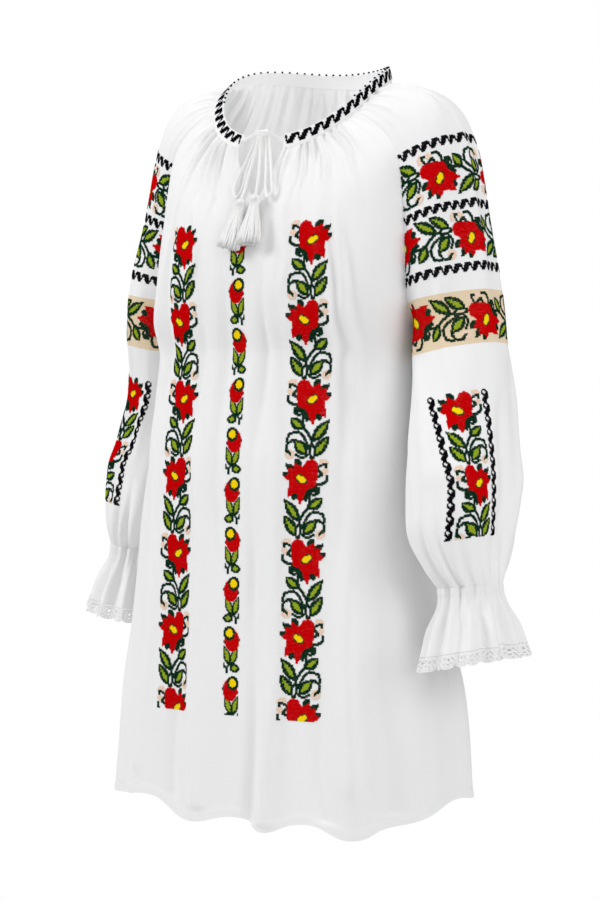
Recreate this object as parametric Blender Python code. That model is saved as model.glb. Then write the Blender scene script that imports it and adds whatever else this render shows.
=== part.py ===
"""Romanian ie: a long gathered blouse of cotton gauze, worn shape, hollow.

Metres, +Z up, +X the wearer's left, -Y the front. The origin is the middle of the
neck opening at the height of the shoulders, where the garment hangs from the wearer.
One continuous surface is worked out from short tables, cut into the panels that are
sewn together, and each panel is given a wall of cloth.
"""
import math

import bmesh
import bpy
import numpy as np
from mathutils import Vector

# ------------------------------------------------------------------ driving sizes
NAME = "romanian_ie"
CLOTH = 0.0013            # wall of the gauze panels
BAND_CLOTH = 0.0018       # neckband and wrist casings are doubled cloth
LACE_CLOTH = 0.0010
SEAM = 0.0003             # space between two sewn pieces

NECK_HALF_WIDTH = 0.100   # neckline seen from above
NECK_HALF_DEPTH = 0.084
NECK_X = 0.004
NECK_Y = 0.006
NECK_FRONT_Z = -0.074
NECK_SIDE_Z = 0.000
NECK_BACK_Z = 0.012
NECK_SAG = 0.005          # extra drop halfway between the front and each shoulder
SHOULDER_TILT = 0.040     # the right shoulder is held a little higher
BAND_HEIGHT = 0.0175
BAND_FLARE = 0.45         # outward run of the band for each metre down it
BAND_TURN = 0.30          # it stands up more on the left and lies flatter on the right
RAGLAN_FRONT = 62.0       # degrees round the neck from centre front
RAGLAN_BACK = 118.0

SLIT_ANGLE = 16.0         # half of the neck slit, degrees round the neck
SLIT_END = 0.35           # row parameter at the bottom of the slit
SLIT_LEAN = 0.05          # how far the slit's foot leans to the wearer's left, share of the front
UNDERARM_Z = -0.315
SECTION_FOOT_Z = -0.830   # mean height of the hem, where the last section is used
SQUARENESS = 2.25         # exponent of the body's rounded-square sections
SEAM_PULL = 1.5           # how closely the raglan seams' shape follows them, not the centre
NECK_BLEND = 0.40         # row parameter where a sleeve has left the neckline's round

FRONT_GATHERS = 10        # on each side of the slit
BACK_GATHERS = 14
SLEEVE_GATHERS = 8        # at the neck end of each sleeve
GATHER_DEPTH = 0.0021     # half the height of a neck gather
GATHER_FULL = 0.20        # row parameter where the gathers are highest
GATHER_FADE = 0.36        # run of rows in which they fade out
GATHER_UNEVEN = 0.22      # how much weaker some gathers are than others
FOLD_FULL_Z = -0.80       # height where the drape folds reach their full height
FOLD_SHARPNESS = 1.4      # narrows the crest of a drape fold within its half-width
FOLD_SEAM_FADE = 0.7      # exponent of a fold's fading towards the raglan seams
LONG_FOLD = 0.0032        # heights of the slanting sleeve folds
CROSS_FOLD = 0.0018
WRIST_GATHERS = 16
WRIST_DEPTH = 0.0011      # half the height of a wrist gather
WRIST_FROM = 1.70         # row parameter where the wrist gathers start
WRIST_RUN = 0.24          # run of rows in which they reach their height
RUFFLE_WAVES = 12
RUFFLE_DEPTH = 0.0060     # half the height of a ruffle wave
RUFFLE_UNEVEN = 0.25
RUFFLE_OPENS = 0.45       # fraction of the cuff in which gathers open into waves
SCALLOPS = 24             # round each lace edge
SCALLOP_DEPTH = 0.0020

TIE = 0.0030              # diameter of the neck cord
TIE_LEAD = 0.004          # straight stretch where a cord leaves the band or the knot
CORD_STEP = 2.8           # diameters between two rings of a cord
KNOT = (0.0095, -0.0875, -0.0710)
KNOT_RADII = (0.0085, 0.0062, 0.0062)
TASSEL_HEAD = (0.0056, 0.0050, 0.0066)    # half-sizes
TASSEL_SKIRT = (0.0132, 0.0070)           # half-sizes at the ends of the strands
STRAND_GAP = 0.00022      # half the space between two strands at their roots
STRAND_THINNING = 0.9     # size of a strand's end as a share of its root
STRAND_UNEVEN = 0.003     # difference in length between the strands

# ------------------------------------------------------------------ tables
# body below the underarms: height, half-width left, right, depth front, back, side seam y
BODY = (
    (-0.315, 0.166, 0.175, 0.128, 0.090, 0.012),
    (-0.370, 0.1665, 0.179, 0.125, 0.095, 0.003),
    (-0.430, 0.169, 0.184, 0.122, 0.098, -0.006),
    (-0.500, 0.173, 0.189, 0.116, 0.099, -0.013),
    (-0.575, 0.181, 0.193, 0.112, 0.098, -0.018),
    (-0.640, 0.198, 0.199, 0.110, 0.097, -0.021),
    (-0.700, 0.216, 0.208, 0.109, 0.097, -0.023),
    (-0.840, 0.227, 0.226, 0.110, 0.100, -0.023),
)
# hem: degrees round the body from centre front to the wearer's left, height
HEM = (
    (-180, -0.822), (-150, -0.827), (-120, -0.820), (-90, -0.827), (-70, -0.829),
    (-45, -0.824), (-27, -0.820), (-17, -0.838), (-9, -0.840), (0, -0.831),
    (4, -0.832), (9, -0.843), (18, -0.833), (25, -0.832), (35, -0.844),
    (42, -0.843), (49, -0.833), (62, -0.824), (75, -0.811), (90, -0.804),
    (120, -0.813), (150, -0.821), (180, -0.822),
)
# long drape folds: degrees at the hem, half-width in degrees, height at the hem,
# height above which the fold has faded, degrees it leans towards the front on the way up
FOLDS = (
    (-160, 13, 0.008, -0.20, 3),
    (-131, 14, 0.009, -0.30, 4),
    (-101, 14, 0.007, -0.38, 0),
    (-68, 13, 0.007, -0.40, -3),
    (-35, 12, 0.008, -0.30, -4),
    (-9, 9, 0.008, -0.18, 2),
    (9, 8, 0.009, -0.20, 0),
    (35, 12, 0.010, -0.17, 0),
    (69, 13, 0.010, -0.36, 4),
    (104, 14, 0.008, -0.38, 0),
    (137, 14, 0.010, -0.28, 4),
    (168, 12, 0.008, -0.22, -2),
)
# centre line above the underarms: row parameter, y, z
CENTRE_FRONT = (
    (0.00, -0.0860, -0.0922),
    (0.25, -0.0985, -0.1280),
    (0.50, -0.1160, -0.1860),
    (0.75, -0.1220, -0.2500),
    (1.00, -0.1160, -0.3150),
)
CENTRE_BACK = (
    (0.00, 0.0981, -0.0022),
    (0.25, 0.1080, -0.0650),
    (0.50, 0.1120, -0.1450),
    (0.75, 0.1080, -0.2300),
    (1.00, 0.1020, -0.3150),
)
# sleeve rows: parameter (1 underarm, 2 wrist), outer x and z, inner x and z, half-depth,
# half of the arc that the sleeve covers, degrees
SLEEVE = (
    (0.00, 0.118, -0.015, 0.102, -0.046, 0.045, 70),
    (0.15, 0.141, -0.015, 0.120, -0.055, 0.050, 78),
    (0.30, 0.171, -0.024, 0.142, -0.073, 0.054, 84),
    (0.45, 0.199, -0.046, 0.160, -0.100, 0.058, 90),
    (0.60, 0.215, -0.080, 0.168, -0.150, 0.061, 100),
    (0.75, 0.225, -0.130, 0.171, -0.205, 0.065, 112),
    (0.88, 0.236, -0.190, 0.170, -0.262, 0.067, 130),
    (1.00, 0.249, -0.250, 0.166, -0.315, 0.065, 180),
    (1.20, 0.268, -0.325, 0.171, -0.372, 0.068, 180),
    (1.40, 0.283, -0.395, 0.177, -0.425, 0.073, 180),
    (1.60, 0.293, -0.455, 0.184, -0.478, 0.075, 180),
    (1.75, 0.297, -0.502, 0.193, -0.519, 0.070, 180),
    (1.90, 0.297, -0.542, 0.214, -0.552, 0.052, 180),
    (2.00, 0.296, -0.563, 0.228, -0.571, 0.0345, 180),
)
# how each arm is held: row parameter, added x, y, z and fullness on the left, then the right
POSE = (
    (0.00, 0.000, 0.008, 0.000, 1.00, 0.000, 0.008, 0.009, 1.00),
    (0.30, 0.000, 0.012, 0.000, 1.00, -0.004, 0.016, 0.010, 1.00),
    (0.60, 0.000, 0.014, 0.000, 1.00, -0.007, 0.024, 0.006, 1.00),
    (0.80, 0.000, 0.014, 0.000, 1.00, -0.001, 0.024, 0.002, 0.94),
    (1.00, 0.000, 0.012, 0.000, 1.00, 0.009, 0.012, 0.000, 0.84),
    (1.20, 0.000, -0.002, 0.000, 1.00, 0.014, 0.036, 0.002, 0.80),
    (1.40, 0.000, -0.020, 0.000, 1.00, 0.015, 0.048, 0.006, 0.81),
    (1.60, 0.000, -0.034, 0.000, 1.00, 0.014, 0.048, 0.010, 0.83),
    (1.75, -0.002, -0.044, 0.000, 1.00, 0.010, 0.044, 0.014, 0.88),
    (1.90, -0.002, -0.052, 0.000, 1.00, 0.005, 0.041, 0.018, 0.97),
    (2.00, -0.001, -0.056, 0.000, 1.00, 0.007, 0.040, 0.019, 1.00),
)
# below the wrist: fraction down, outward run, drop at the outer and inner edge, growth of
# the half-width and of the half-depth
CUFF = (
    (0.00, 0.000, 0.000, 0.000, 0.000, 0.000),
    (0.13, 0.001, 0.010, 0.011, 0.000, 0.001),
    (0.40, 0.003, 0.031, 0.036, 0.005, 0.010),
    (0.70, 0.005, 0.054, 0.063, 0.011, 0.020),
    (1.00, 0.006, 0.078, 0.090, 0.017, 0.031),
)
CASING_END = 0.13         # fractions of the cuff where casing, ruffle and lace end
RUFFLE_END = 0.80
# neck tie, hand-laid: x, z, distance off the chest; starts are x, y under the knot
BOW_STARTS = {"left": ((0.0165, -0.0850), (0.0133, -0.0872)),
              "right": ((0.0027, -0.0850), (0.0060, -0.0872))}
BOW_LEFT_OUT = [(0.0240, -0.096, 0.0045), (0.0330, -0.126, 0.0045), (0.0362, -0.1395, 0.0045)]
BOW_LEFT_BACK = [(0.0325, -0.1450, 0.0048), (0.0285, -0.138, 0.0050), (0.0230, -0.114, 0.0050),
                 (0.0170, -0.090, 0.0048)]
BOW_RIGHT_OUT = [(-0.0050, -0.096, 0.0045), (-0.0145, -0.124, 0.0045), (-0.0155, -0.1375, 0.0045)]
BOW_RIGHT_BACK = [(-0.0105, -0.1440, 0.0048), (-0.0055, -0.137, 0.0050), (-0.0030, -0.114, 0.0050),
                  (0.0020, -0.090, 0.0048)]
END_STARTS = {"left": (0.0117, -0.0918), "right": (0.0077, -0.0918)}
# word, route of the free end, top of the tassel, tip of the tassel
TIE_ENDS = (
    ("left", [(0.0140, -0.098, 0.0095), (0.0180, -0.124, 0.0095)],
     (0.0190, -0.1420, 0.0095), (0.0205, -0.1970, 0.0108)),
    ("right", [(0.0062, -0.098, 0.0100), (0.0035, -0.126, 0.0100)],
     (0.0020, -0.1460, 0.0100), (-0.0070, -0.2015, 0.0108)),
)
TIE_HEIGHT = 0.35         # where the cord leaves the end of the band, share of its height
# row parameters shared by the three panels that meet at a raglan seam
UPPER_ROWS = (0.0, 0.05, 0.12, 0.22, SLIT_END, 0.50, 0.66, 0.83, 1.0)
GATHER_ROWS = 5           # rows of cells that hold the gathers
BODY_ROWS = (0.0, 0.13, 0.26, 0.39, 0.52, 0.65, 0.77, 0.89, 1.0)
ARM_ROWS = (1.0, 1.10, 1.22, 1.35, 1.50, 1.64)
WRIST_ROWS = (1.75, 1.85, 1.93, 2.0)   # twice as many columns
RUFFLE_ROWS = (CASING_END, 0.24, 0.40, 0.60, RUFFLE_END)

# colour (linear), roughness
WHITE_GAUZE = ((0.83, 0.83, 0.84, 1.0), 0.85)
WHITE_BAND = ((0.80, 0.80, 0.80, 1.0), 0.80)
WHITE_LACE = ((0.86, 0.86, 0.86, 1.0), 0.75)
WHITE_CORD = ((0.84, 0.83, 0.81, 1.0), 0.70)


# ------------------------------------------------------------------ small maths
def curve(table, at, column):
    """Smooth value of a table's column; the first column is the key."""
    rows = sorted(table)
    keys = np.array([row[0] for row in rows], float)
    values = np.array([row[column] for row in rows], float)
    slopes = np.empty_like(values)
    steps = np.diff(values) / np.diff(keys)
    slopes[0], slopes[-1] = steps[0], steps[-1]
    slopes[1:-1] = (steps[:-1] + steps[1:]) / 2
    at = np.clip(np.asarray(at, float), keys[0], keys[-1])
    i = np.clip(np.searchsorted(keys, at) - 1, 0, len(keys) - 2)
    span = keys[i + 1] - keys[i]
    t = (at - keys[i]) / span
    return ((2 * t**3 - 3 * t**2 + 1) * values[i] + (t**3 - 2 * t**2 + t) * span * slopes[i]
            + (3 * t**2 - 2 * t**3) * values[i + 1] + (t**3 - t**2) * span * slopes[i + 1])


def smooth(x):
    x = np.clip(x, 0.0, 1.0)
    return x * x * (3 - 2 * x)


def mix(a, b, t):
    return a + (b - a) * t


def unit(v):
    return v / np.maximum(np.linalg.norm(v, axis=-1, keepdims=True), 1e-12)


def spread(count, uneven=0.30):
    """count+1 places from 0 to 1, a little uneven as hand gathers are."""
    k = np.arange(count + 1, dtype=float)
    shift = uneven * np.sin(2.1 * k + 0.7) * np.sin(math.pi * k / count)
    return (k + shift) / count


def normal_of(surface, t, s, step=1e-3):
    """Outward normal of a surface function by differences along and across it."""
    down = surface(t + step, s) - surface(t - step, s)
    across = surface(t, s + step) - surface(t, s - step)
    return unit(np.cross(down, across))


# ------------------------------------------------------------------ the form
def neckline(angle, drop=0.0):
    """Point of the neck at an angle from centre front, a distance down the band."""
    a = np.radians(angle)
    ends = (NECK_FRONT_Z + NECK_BACK_Z) / 2
    z = ((ends + NECK_SIDE_Z) / 2 + (NECK_FRONT_Z - NECK_BACK_Z) / 2 * np.cos(a)
         + (ends - NECK_SIDE_Z) / 2 * np.cos(2 * a))
    z = z - NECK_SAG * np.sin(2 * a) ** 2 * (np.cos(a) > 0)
    flare = BAND_FLARE - BAND_TURN * np.sin(a)
    x = NECK_X + (NECK_HALF_WIDTH + flare * drop) * np.sin(a)
    y = NECK_Y - (NECK_HALF_DEPTH + flare * drop) * np.cos(a)
    return np.stack([x, y, z - SHOULDER_TILT * x - np.sqrt(1 - flare ** 2) * drop], -1)


def body_section(angle, z):
    """Rounded-square section of the body at a height."""
    a = np.radians(angle)
    sin, cos = np.sin(a), np.cos(a)
    half = np.where(sin >= 0, curve(BODY, z, 1), curve(BODY, z, 2))
    depth = np.where(cos >= 0, curve(BODY, z, 3), curve(BODY, z, 4))
    x = np.sign(sin) * half * np.abs(sin) ** (2 / SQUARENESS)
    y = curve(BODY, z, 5) - np.sign(cos) * depth * np.abs(cos) ** (2 / SQUARENESS)
    return np.stack([x, y, z + 0 * x], -1)


def arm_pose(t, side):
    """Added x, y, z and the fullness of a sleeve row."""
    first = 1 if side > 0 else 5
    return [curve(POSE, t, first + k) for k in range(4)]


def sleeve_ring(t, q, side):
    """Sleeve row t; q runs -1 front seam, 0 outside, 1 back seam. side 1 left, -1 right."""
    add_x, add_y, add_z, fullness = arm_pose(t, side)
    outer_x, outer_z, inner_x, inner_z = (curve(SLEEVE, t, k) for k in (1, 2, 3, 4))
    sweep = np.radians(np.minimum(curve(SLEEVE, t, 6), 180))
    reach = (1 - np.cos(sweep)) / fullness
    run_x, run_z = (outer_x - inner_x) / reach, (outer_z - inner_z) / reach
    out = np.cos(q * sweep) - np.cos(sweep)
    x = inner_x + run_x * out + add_x
    y = curve(SLEEVE, t, 5) * fullness * np.sin(q * sweep) + add_y
    z = inner_z + run_z * out + add_z
    return np.stack([side * x, y + 0 * x, z], -1)


def sleeve_surface(t, q, side):
    """Sleeve from the neckline over the shoulder to the wrist, without its folds."""
    t, q = np.broadcast_arrays(np.asarray(t, float), np.asarray(q, float))
    from_shoulder = q * (RAGLAN_BACK - 90)
    at_neck = neckline(90 + from_shoulder if side > 0 else 270 - from_shoulder, BAND_HEIGHT)
    left_over = 1 - np.clip(t / NECK_BLEND, 0, 1)
    share = (1 - left_over ** 2)[..., None]
    return mix(at_neck, sleeve_ring(t, q, side), share)


def upper_surface(t, s, face):
    """Front (face -1) or back (face 1) from the neckline to the underarms; s -1..1 across."""
    t, s = np.broadcast_arrays(np.asarray(t, float), np.asarray(s, float))
    size = np.abs(s)
    angle = s * RAGLAN_FRONT if face < 0 else 180 - s * (180 - RAGLAN_BACK)
    round_body = s * 90 if face < 0 else 180 - s * 90
    top = neckline(angle, BAND_HEIGHT)
    bottom = body_section(round_body, np.full(t.shape, UNDERARM_Z))
    down = t[..., None]
    seam_q = -1.0 if face < 0 else 1.0

    def seam_of(rows):
        left = sleeve_surface(rows, seam_q, 1)
        right = sleeve_surface(rows, seam_q, -1)
        return np.where((s >= 0)[..., None], left, right)

    def centre_of(rows):
        table = CENTRE_FRONT if face < 0 else CENTRE_BACK
        return np.stack([0 * rows, curve(table, rows, 1), curve(table, rows, 2)], -1)

    seam_bulge = seam_of(t) - mix(seam_of(0 * t), seam_of(0 * t + 1), down)
    centre_bulge = centre_of(t) - mix(centre_of(0 * t), centre_of(0 * t + 1), down)
    pull = (size ** SEAM_PULL)[..., None]
    return mix(top, bottom, down) + pull * seam_bulge + (1 - pull) * centre_bulge


def lower_surface(v, angle):
    """Body from the underarms (v 0) to the hem (v 1)."""
    v, angle = np.broadcast_arrays(np.asarray(v, float), np.asarray(angle, float))
    hem = curve(HEM, (angle + 180) % 360 - 180, 1)
    flat = body_section(angle, mix(UNDERARM_Z, SECTION_FOOT_Z, v))
    flat[..., 2] = mix(UNDERARM_Z, hem, v)
    return flat


# ------------------------------------------------------------------ folds
def drape(angle, z):
    """Height of the long folds at an angle round the body and a height."""
    total = np.zeros(np.broadcast(angle, z).shape)
    for at_hem, half_width, height, fade_z, lean in FOLDS:
        grow = smooth((fade_z - z) / (fade_z - FOLD_FULL_Z))
        centre = at_hem - np.sign(at_hem) * lean * (1 - grow)
        off = (angle - centre + 180) % 360 - 180
        total = total + height * grow * np.exp(-(off / half_width * FOLD_SHARPNESS) ** 2)
    return total


def gather_height(t, share):
    """Height of a neck gather at a row; share is the place across the panel, 0 to 1."""
    rise = GATHER_DEPTH * (1 - (1 - min(1.0, t / GATHER_FULL)) ** 2)
    fade = 1 - smooth((t - GATHER_FULL) / GATHER_FADE)
    return rise * fade * np.sin(math.pi * share) ** 0.5


def gather_wave(count, columns, seed):
    """Cosine at each column, stronger on some gathers than others."""
    gather = np.arange(columns + 1) * count / columns
    weaker = GATHER_UNEVEN * (1 - np.sin(1.9 * np.floor(gather + 0.5) + seed))
    return (1 - weaker) * np.cos(2 * math.pi * gather)


# ------------------------------------------------------------------ panels as grids
def slit_edge(t):
    """Share of the front between centre and raglan seam that the slit takes at a row."""
    return SLIT_ANGLE / RAGLAN_FRONT * max(0.0, 1 - t / SLIT_END) ** 0.85


def slit_middle(t):
    """The slit leans to the wearer's left on its way down."""
    return SLIT_LEAN * float(smooth(t / SLIT_END))


def body_grid(face, start, end, gathers, seed):
    """Rows from neckline to hem; start and end give s at a row for its end columns."""
    fine = spread(4 * gathers)
    coarse = fine[::2]
    wave = gather_wave(gathers, 4 * gathers, seed)
    grid = []
    for number, t in enumerate(UPPER_ROWS):
        gathered = number <= GATHER_ROWS
        places = fine if gathered else coarse
        s = mix(start(t), end(t), places)
        points = upper_surface(t, s, face)
        normals = -face * normal_of(lambda a, b: upper_surface(a, b, face), t + 0 * s, s)
        angle = s * 90 if face < 0 else 180 - s * 90
        height = drape(angle, points[..., 2]) * (1 - np.abs(s)) ** FOLD_SEAM_FADE
        if gathered:
            height = height + gather_height(t, places) * wave
        grid.append(points + normals * height[..., None])
    s = mix(start(1.0), end(1.0), coarse)
    angle = s * 90 if face < 0 else 180 - s * 90
    outward = np.stack([np.sin(np.radians(angle)), -np.cos(np.radians(angle)), 0 * angle], -1)
    for v in BODY_ROWS[1:]:
        points = lower_surface(v, angle)
        grid.append(points + outward * drape(angle, points[..., 2])[..., None])
    return grid


def ring_outward(q, side):
    """Level direction out of a ring at each column."""
    return np.stack([side * np.cos(math.pi * q), np.sin(math.pi * q), 0 * q], -1)


def wrist_height(t, q):
    """Small upright gathers that grow towards the elastic wrist."""
    grown = smooth((t - WRIST_FROM) / WRIST_RUN)
    return WRIST_DEPTH * grown * np.cos(math.pi * WRIST_GATHERS * q)


def arm_folds(t, q, side):
    """Soft slanting folds down the sleeve, none at its seams or at the wrist."""
    away = np.cos(math.pi * q / 2) ** 0.5 * (1 - smooth((t - 1.80) / 0.20))
    long_folds = LONG_FOLD * np.sin(3.1 * math.pi * q + 2.2 * t + 0.6 * side)
    cross_folds = CROSS_FOLD * np.sin(5.0 * math.pi * q - 4.0 * t)
    return away * (long_folds * smooth((t - 0.5) / 0.6) + cross_folds * smooth((t - 1.1) / 0.5))


def sleeve_grid(side):
    """Rows of a sleeve from the neckline to the wrist, front seam to back seam."""
    columns = 3 * SLEEVE_GATHERS
    wave = gather_wave(SLEEVE_GATHERS, columns, 0.4)
    wrist_start = WRIST_ROWS[0]
    grid = []
    for t in UPPER_ROWS + ARM_ROWS[1:] + WRIST_ROWS:
        places = spread(columns) if t < wrist_start else np.linspace(0, 1, 3 * WRIST_GATHERS + 1)
        q = 2 * places - 1
        points = sleeve_surface(t, q, side)
        normals = side * normal_of(lambda a, b: sleeve_surface(a, b, side), t + 0 * q, q)
        height = arm_folds(t, q, side)
        if t <= UPPER_ROWS[GATHER_ROWS]:
            height = height + gather_height(t, places) * wave
        points = points + normals * height[..., None]
        grid.append(points + ring_outward(q, side) * wrist_height(t, q)[..., None])
    return grid


def cuff_point(f, q, side):
    """Surface below the wrist: casing, ruffle and lace."""
    add_x, add_y, add_z, _ = arm_pose(SLEEVE[-1][0], side)
    outer_x, outer_z, inner_x, inner_z, half_depth = SLEEVE[-1][1:6]
    grow_x, grow_y = curve(CUFF, f, 4), curve(CUFF, f, 5)
    middle = (outer_x + inner_x) / 2 + curve(CUFF, f, 1) + add_x
    half_width = (outer_x - inner_x) / 2 + grow_x
    x = middle + half_width * np.cos(math.pi * q)
    y = add_y + (half_depth + grow_y) * np.sin(math.pi * q)
    lean = (1 + np.cos(math.pi * q)) / 2
    drop = mix(curve(CUFF, f, 3), curve(CUFF, f, 2), lean)
    z = mix(inner_z, outer_z, lean) - drop + add_z
    return np.stack([side * x, y, z + 0 * x], -1)


def cuff_height(f, q):
    """Gathers at the casing that open into the waves of the ruffle."""
    opened = smooth((f - CASING_END) / RUFFLE_OPENS)
    tight = WRIST_DEPTH * (1 - opened) * np.cos(math.pi * WRIST_GATHERS * q)
    uneven = 1 + RUFFLE_UNEVEN * np.sin(2 * math.pi * q + 1.0)
    drift = 0.5 * np.sin(math.pi * q)
    waves = RUFFLE_DEPTH * opened * uneven * np.cos(math.pi * RUFFLE_WAVES * q + drift)
    return tight + waves


def cuff_grid(side, rows, scallop=0.0):
    """Rows of the cuff; a scallop lowers every second column of the last row."""
    q = np.linspace(-1, 1, 3 * WRIST_GATHERS + 1)
    grid = []
    for f in rows:
        points = cuff_point(f, q, side)
        points = points + ring_outward(q, side) * cuff_height(f, q)[..., None]
        if scallop and f == rows[-1]:
            points[..., 2] -= scallop * np.cos(math.pi * SCALLOPS * q)
        grid.append(points)
    return grid


def band_grid(step):
    """The neckband, open at the slit, on every so many of the panels' columns."""
    front = mix(slit_edge(0.0), 1.0, spread(4 * FRONT_GATHERS)) * RAGLAN_FRONT
    side = 90 + (2 * spread(3 * SLEEVE_GATHERS) - 1) * (RAGLAN_BACK - 90)
    back = mix(RAGLAN_BACK, 180 + (180 - RAGLAN_BACK), spread(4 * BACK_GATHERS))
    right_side = 360 - side[::-1]
    right_front = 360 - front[::-1]
    whole = np.concatenate([a[:-1] for a in (front, side, back, right_side)] + [right_front])
    return [neckline(whole[::step], drop) for drop in (0.0, BAND_HEIGHT)]


# ------------------------------------------------------------------ cloth walls
def join_rows(upper, lower):
    """Faces between two rows of point numbers; one row may be 2 or 3 times as fine."""
    faces = []
    fine, coarse = (upper, lower) if len(upper) >= len(lower) else (lower, upper)
    ratio = (len(fine) - 1) // (len(coarse) - 1)
    for k in range(len(coarse) - 1):
        part = fine[k * ratio:(k + 1) * ratio + 1]
        pair = coarse[k:k + 2]
        if ratio == 1:
            face = (part[0], pair[0], pair[1], part[1])
            faces.append(face if fine is upper else (pair[0], part[0], part[1], pair[1]))
            continue
        half = (ratio + 1) // 2
        fan = [(part[j], pair[0], part[j + 1]) for j in range(half)]
        fan.append((part[half], pair[0], pair[1]))
        fan += [(part[j], pair[1], part[j + 1]) for j in range(half, ratio)]
        faces += fan if fine is upper else [face[::-1] for face in fan]
    return faces


def same_place(point):
    """Key shared by points within about 0.01 mm."""
    return tuple(np.round(np.asarray(point) * 1e5 + 0.317).astype(int))


def surface_from(grids, flip=False):
    """Weld grids of rows into one open surface: points and faces, outward side out."""
    numbers, points, faces = {}, [], []

    def number(point):
        key = same_place(point)
        if key not in numbers:
            numbers[key] = len(points)
            points.append(np.array(point))
        return numbers[key]

    for grid in grids:
        rows = [[number(p) for p in row] for row in grid]
        for upper, lower in zip(rows, rows[1:]):
            for face in join_rows(upper, lower):
                face = [v for k, v in enumerate(face) if v != face[k - 1]]
                if len(face) > 2:
                    faces.append(face[::-1] if flip else face)
    return np.array(points), faces


def corner_normals(surfaces):
    """Normals of all panels together, so that sewn edges share theirs."""
    sums = {}
    for points, faces in surfaces:
        for face in faces:
            corners = points[face]
            area = sum(np.cross(corners[k] - corners[0], corners[k + 1] - corners[0])
                       for k in range(1, len(face) - 1))
            for p in corners:
                key = same_place(p)
                sums[key] = sums.get(key, 0) + area
    return [np.array([unit(sums[same_place(p)]) for p in points]) for points, faces in surfaces]


def inset_edges(points, faces, normals, distance):
    """Move the open edges of a surface into it, in its own plane."""
    one_way = {(face[k - 1], face[k]) for face in faces for k in range(len(face))}
    edges = [edge for edge in one_way if (edge[1], edge[0]) not in one_way]
    inward = {}
    for a, b in edges:
        run = unit(points[b] - points[a])
        for v in (a, b):
            inward.setdefault(v, []).append(unit(np.cross(normals[v], run)))
    moved = points.copy()
    for v, ways in inward.items():
        total = np.sum(ways, axis=0)
        reach = max(0.5, float(np.dot(total, total)) / len(ways))
        moved[v] = points[v] + total * distance / reach
    return moved, edges


def cloth_wall(name, points, faces, normals, thickness, look):
    """Closed wall: the surface outside, its copy inside, and rims along the open edges."""
    outer, edges = inset_edges(points, faces, normals, SEAM / 2)
    inner = outer - normals * thickness
    count = len(outer)
    solid = [tuple(face) for face in faces]
    solid += [tuple(count + v for v in reversed(face)) for face in faces]
    solid += [(b, a, a + count, b + count) for a, b in edges]
    return add_mesh(name, np.concatenate([outer, inner]), solid, look)


# ------------------------------------------------------------------ Blender objects
def material_for(name, look):
    colour, roughness = look
    material = bpy.data.materials.new(name)
    material.use_nodes = True
    shader = material.node_tree.nodes["Principled BSDF"]
    shader.inputs["Base Color"].default_value = colour
    shader.inputs["Roughness"].default_value = roughness
    shader.inputs["Metallic"].default_value = 0.0
    material.diffuse_color = colour
    return material


def place(name, data, look):
    data.materials.clear()
    data.materials.append(material_for(name, look))
    piece = bpy.data.objects.new(name, data)
    bpy.data.collections[NAME].objects.link(piece)
    return piece


def add_mesh(name, points, faces, look):
    mesh = bpy.data.meshes.new(name)
    mesh.from_pydata([tuple(p) for p in points], [], faces)
    mesh.update()
    mesh.shade_smooth()
    return place(name, mesh, look)


def add_cord(name, route, look):
    """A cord along a smooth curve through a few points chosen along its route."""
    route = np.array(route, float)
    legs = np.linalg.norm(np.diff(route, axis=0), axis=1)
    along = np.concatenate([[0], np.cumsum(legs)])
    table = [(a, *p) for a, p in zip(along, route)]
    count = max(3, int(round(along[-1] / (TIE * CORD_STEP))))
    at = np.linspace(0, along[-1], count + 1)
    line = np.stack([curve(table, at, k) for k in (1, 2, 3)], -1)
    data = bpy.data.curves.new(name, "CURVE")
    data.dimensions = "3D"
    data.bevel_depth = TIE / 2
    data.bevel_resolution = 2
    data.use_fill_caps = True
    spline = data.splines.new("POLY")
    spline.points.add(count)
    for point, place_at in zip(spline.points, line):
        point.co = (*place_at, 1.0)
    spline.use_smooth = True
    return place(name, data, look)


def chest(x, z, lift):
    """Point in front of the chest, a distance off the cloth."""
    slope = [(row_z, row_y) for _, row_y, row_z in CENTRE_FRONT]
    return (x, float(curve(slope, z, 1)) - lift, z)


def under_knot(x, y):
    """Where a cord comes out below the knot."""
    near_x = x + (KNOT[0] - x) * min(1.0, TIE / 2 / max(1e-6, abs(KNOT[0] - x)))
    near_y = y + (KNOT[1] - y) * min(1.0, TIE / 2 / max(1e-6, abs(KNOT[1] - y)))
    off = ((near_x - KNOT[0]) / KNOT_RADII[0]) ** 2 + ((near_y - KNOT[1]) / KNOT_RADII[1]) ** 2
    return (x, y, KNOT[2] - KNOT_RADII[2] * math.sqrt(max(0.0, 1 - off)) - SEAM)


def add_knot():
    bm = bmesh.new()
    bmesh.ops.create_uvsphere(bm, u_segments=12, v_segments=8, radius=1.0)
    bmesh.ops.scale(bm, vec=KNOT_RADII, verts=bm.verts)
    mesh = bpy.data.meshes.new("tie_knot")
    bm.to_mesh(mesh)
    bm.free()
    mesh.shade_smooth()
    place("tie_knot", mesh, WHITE_CORD).location = KNOT


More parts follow.
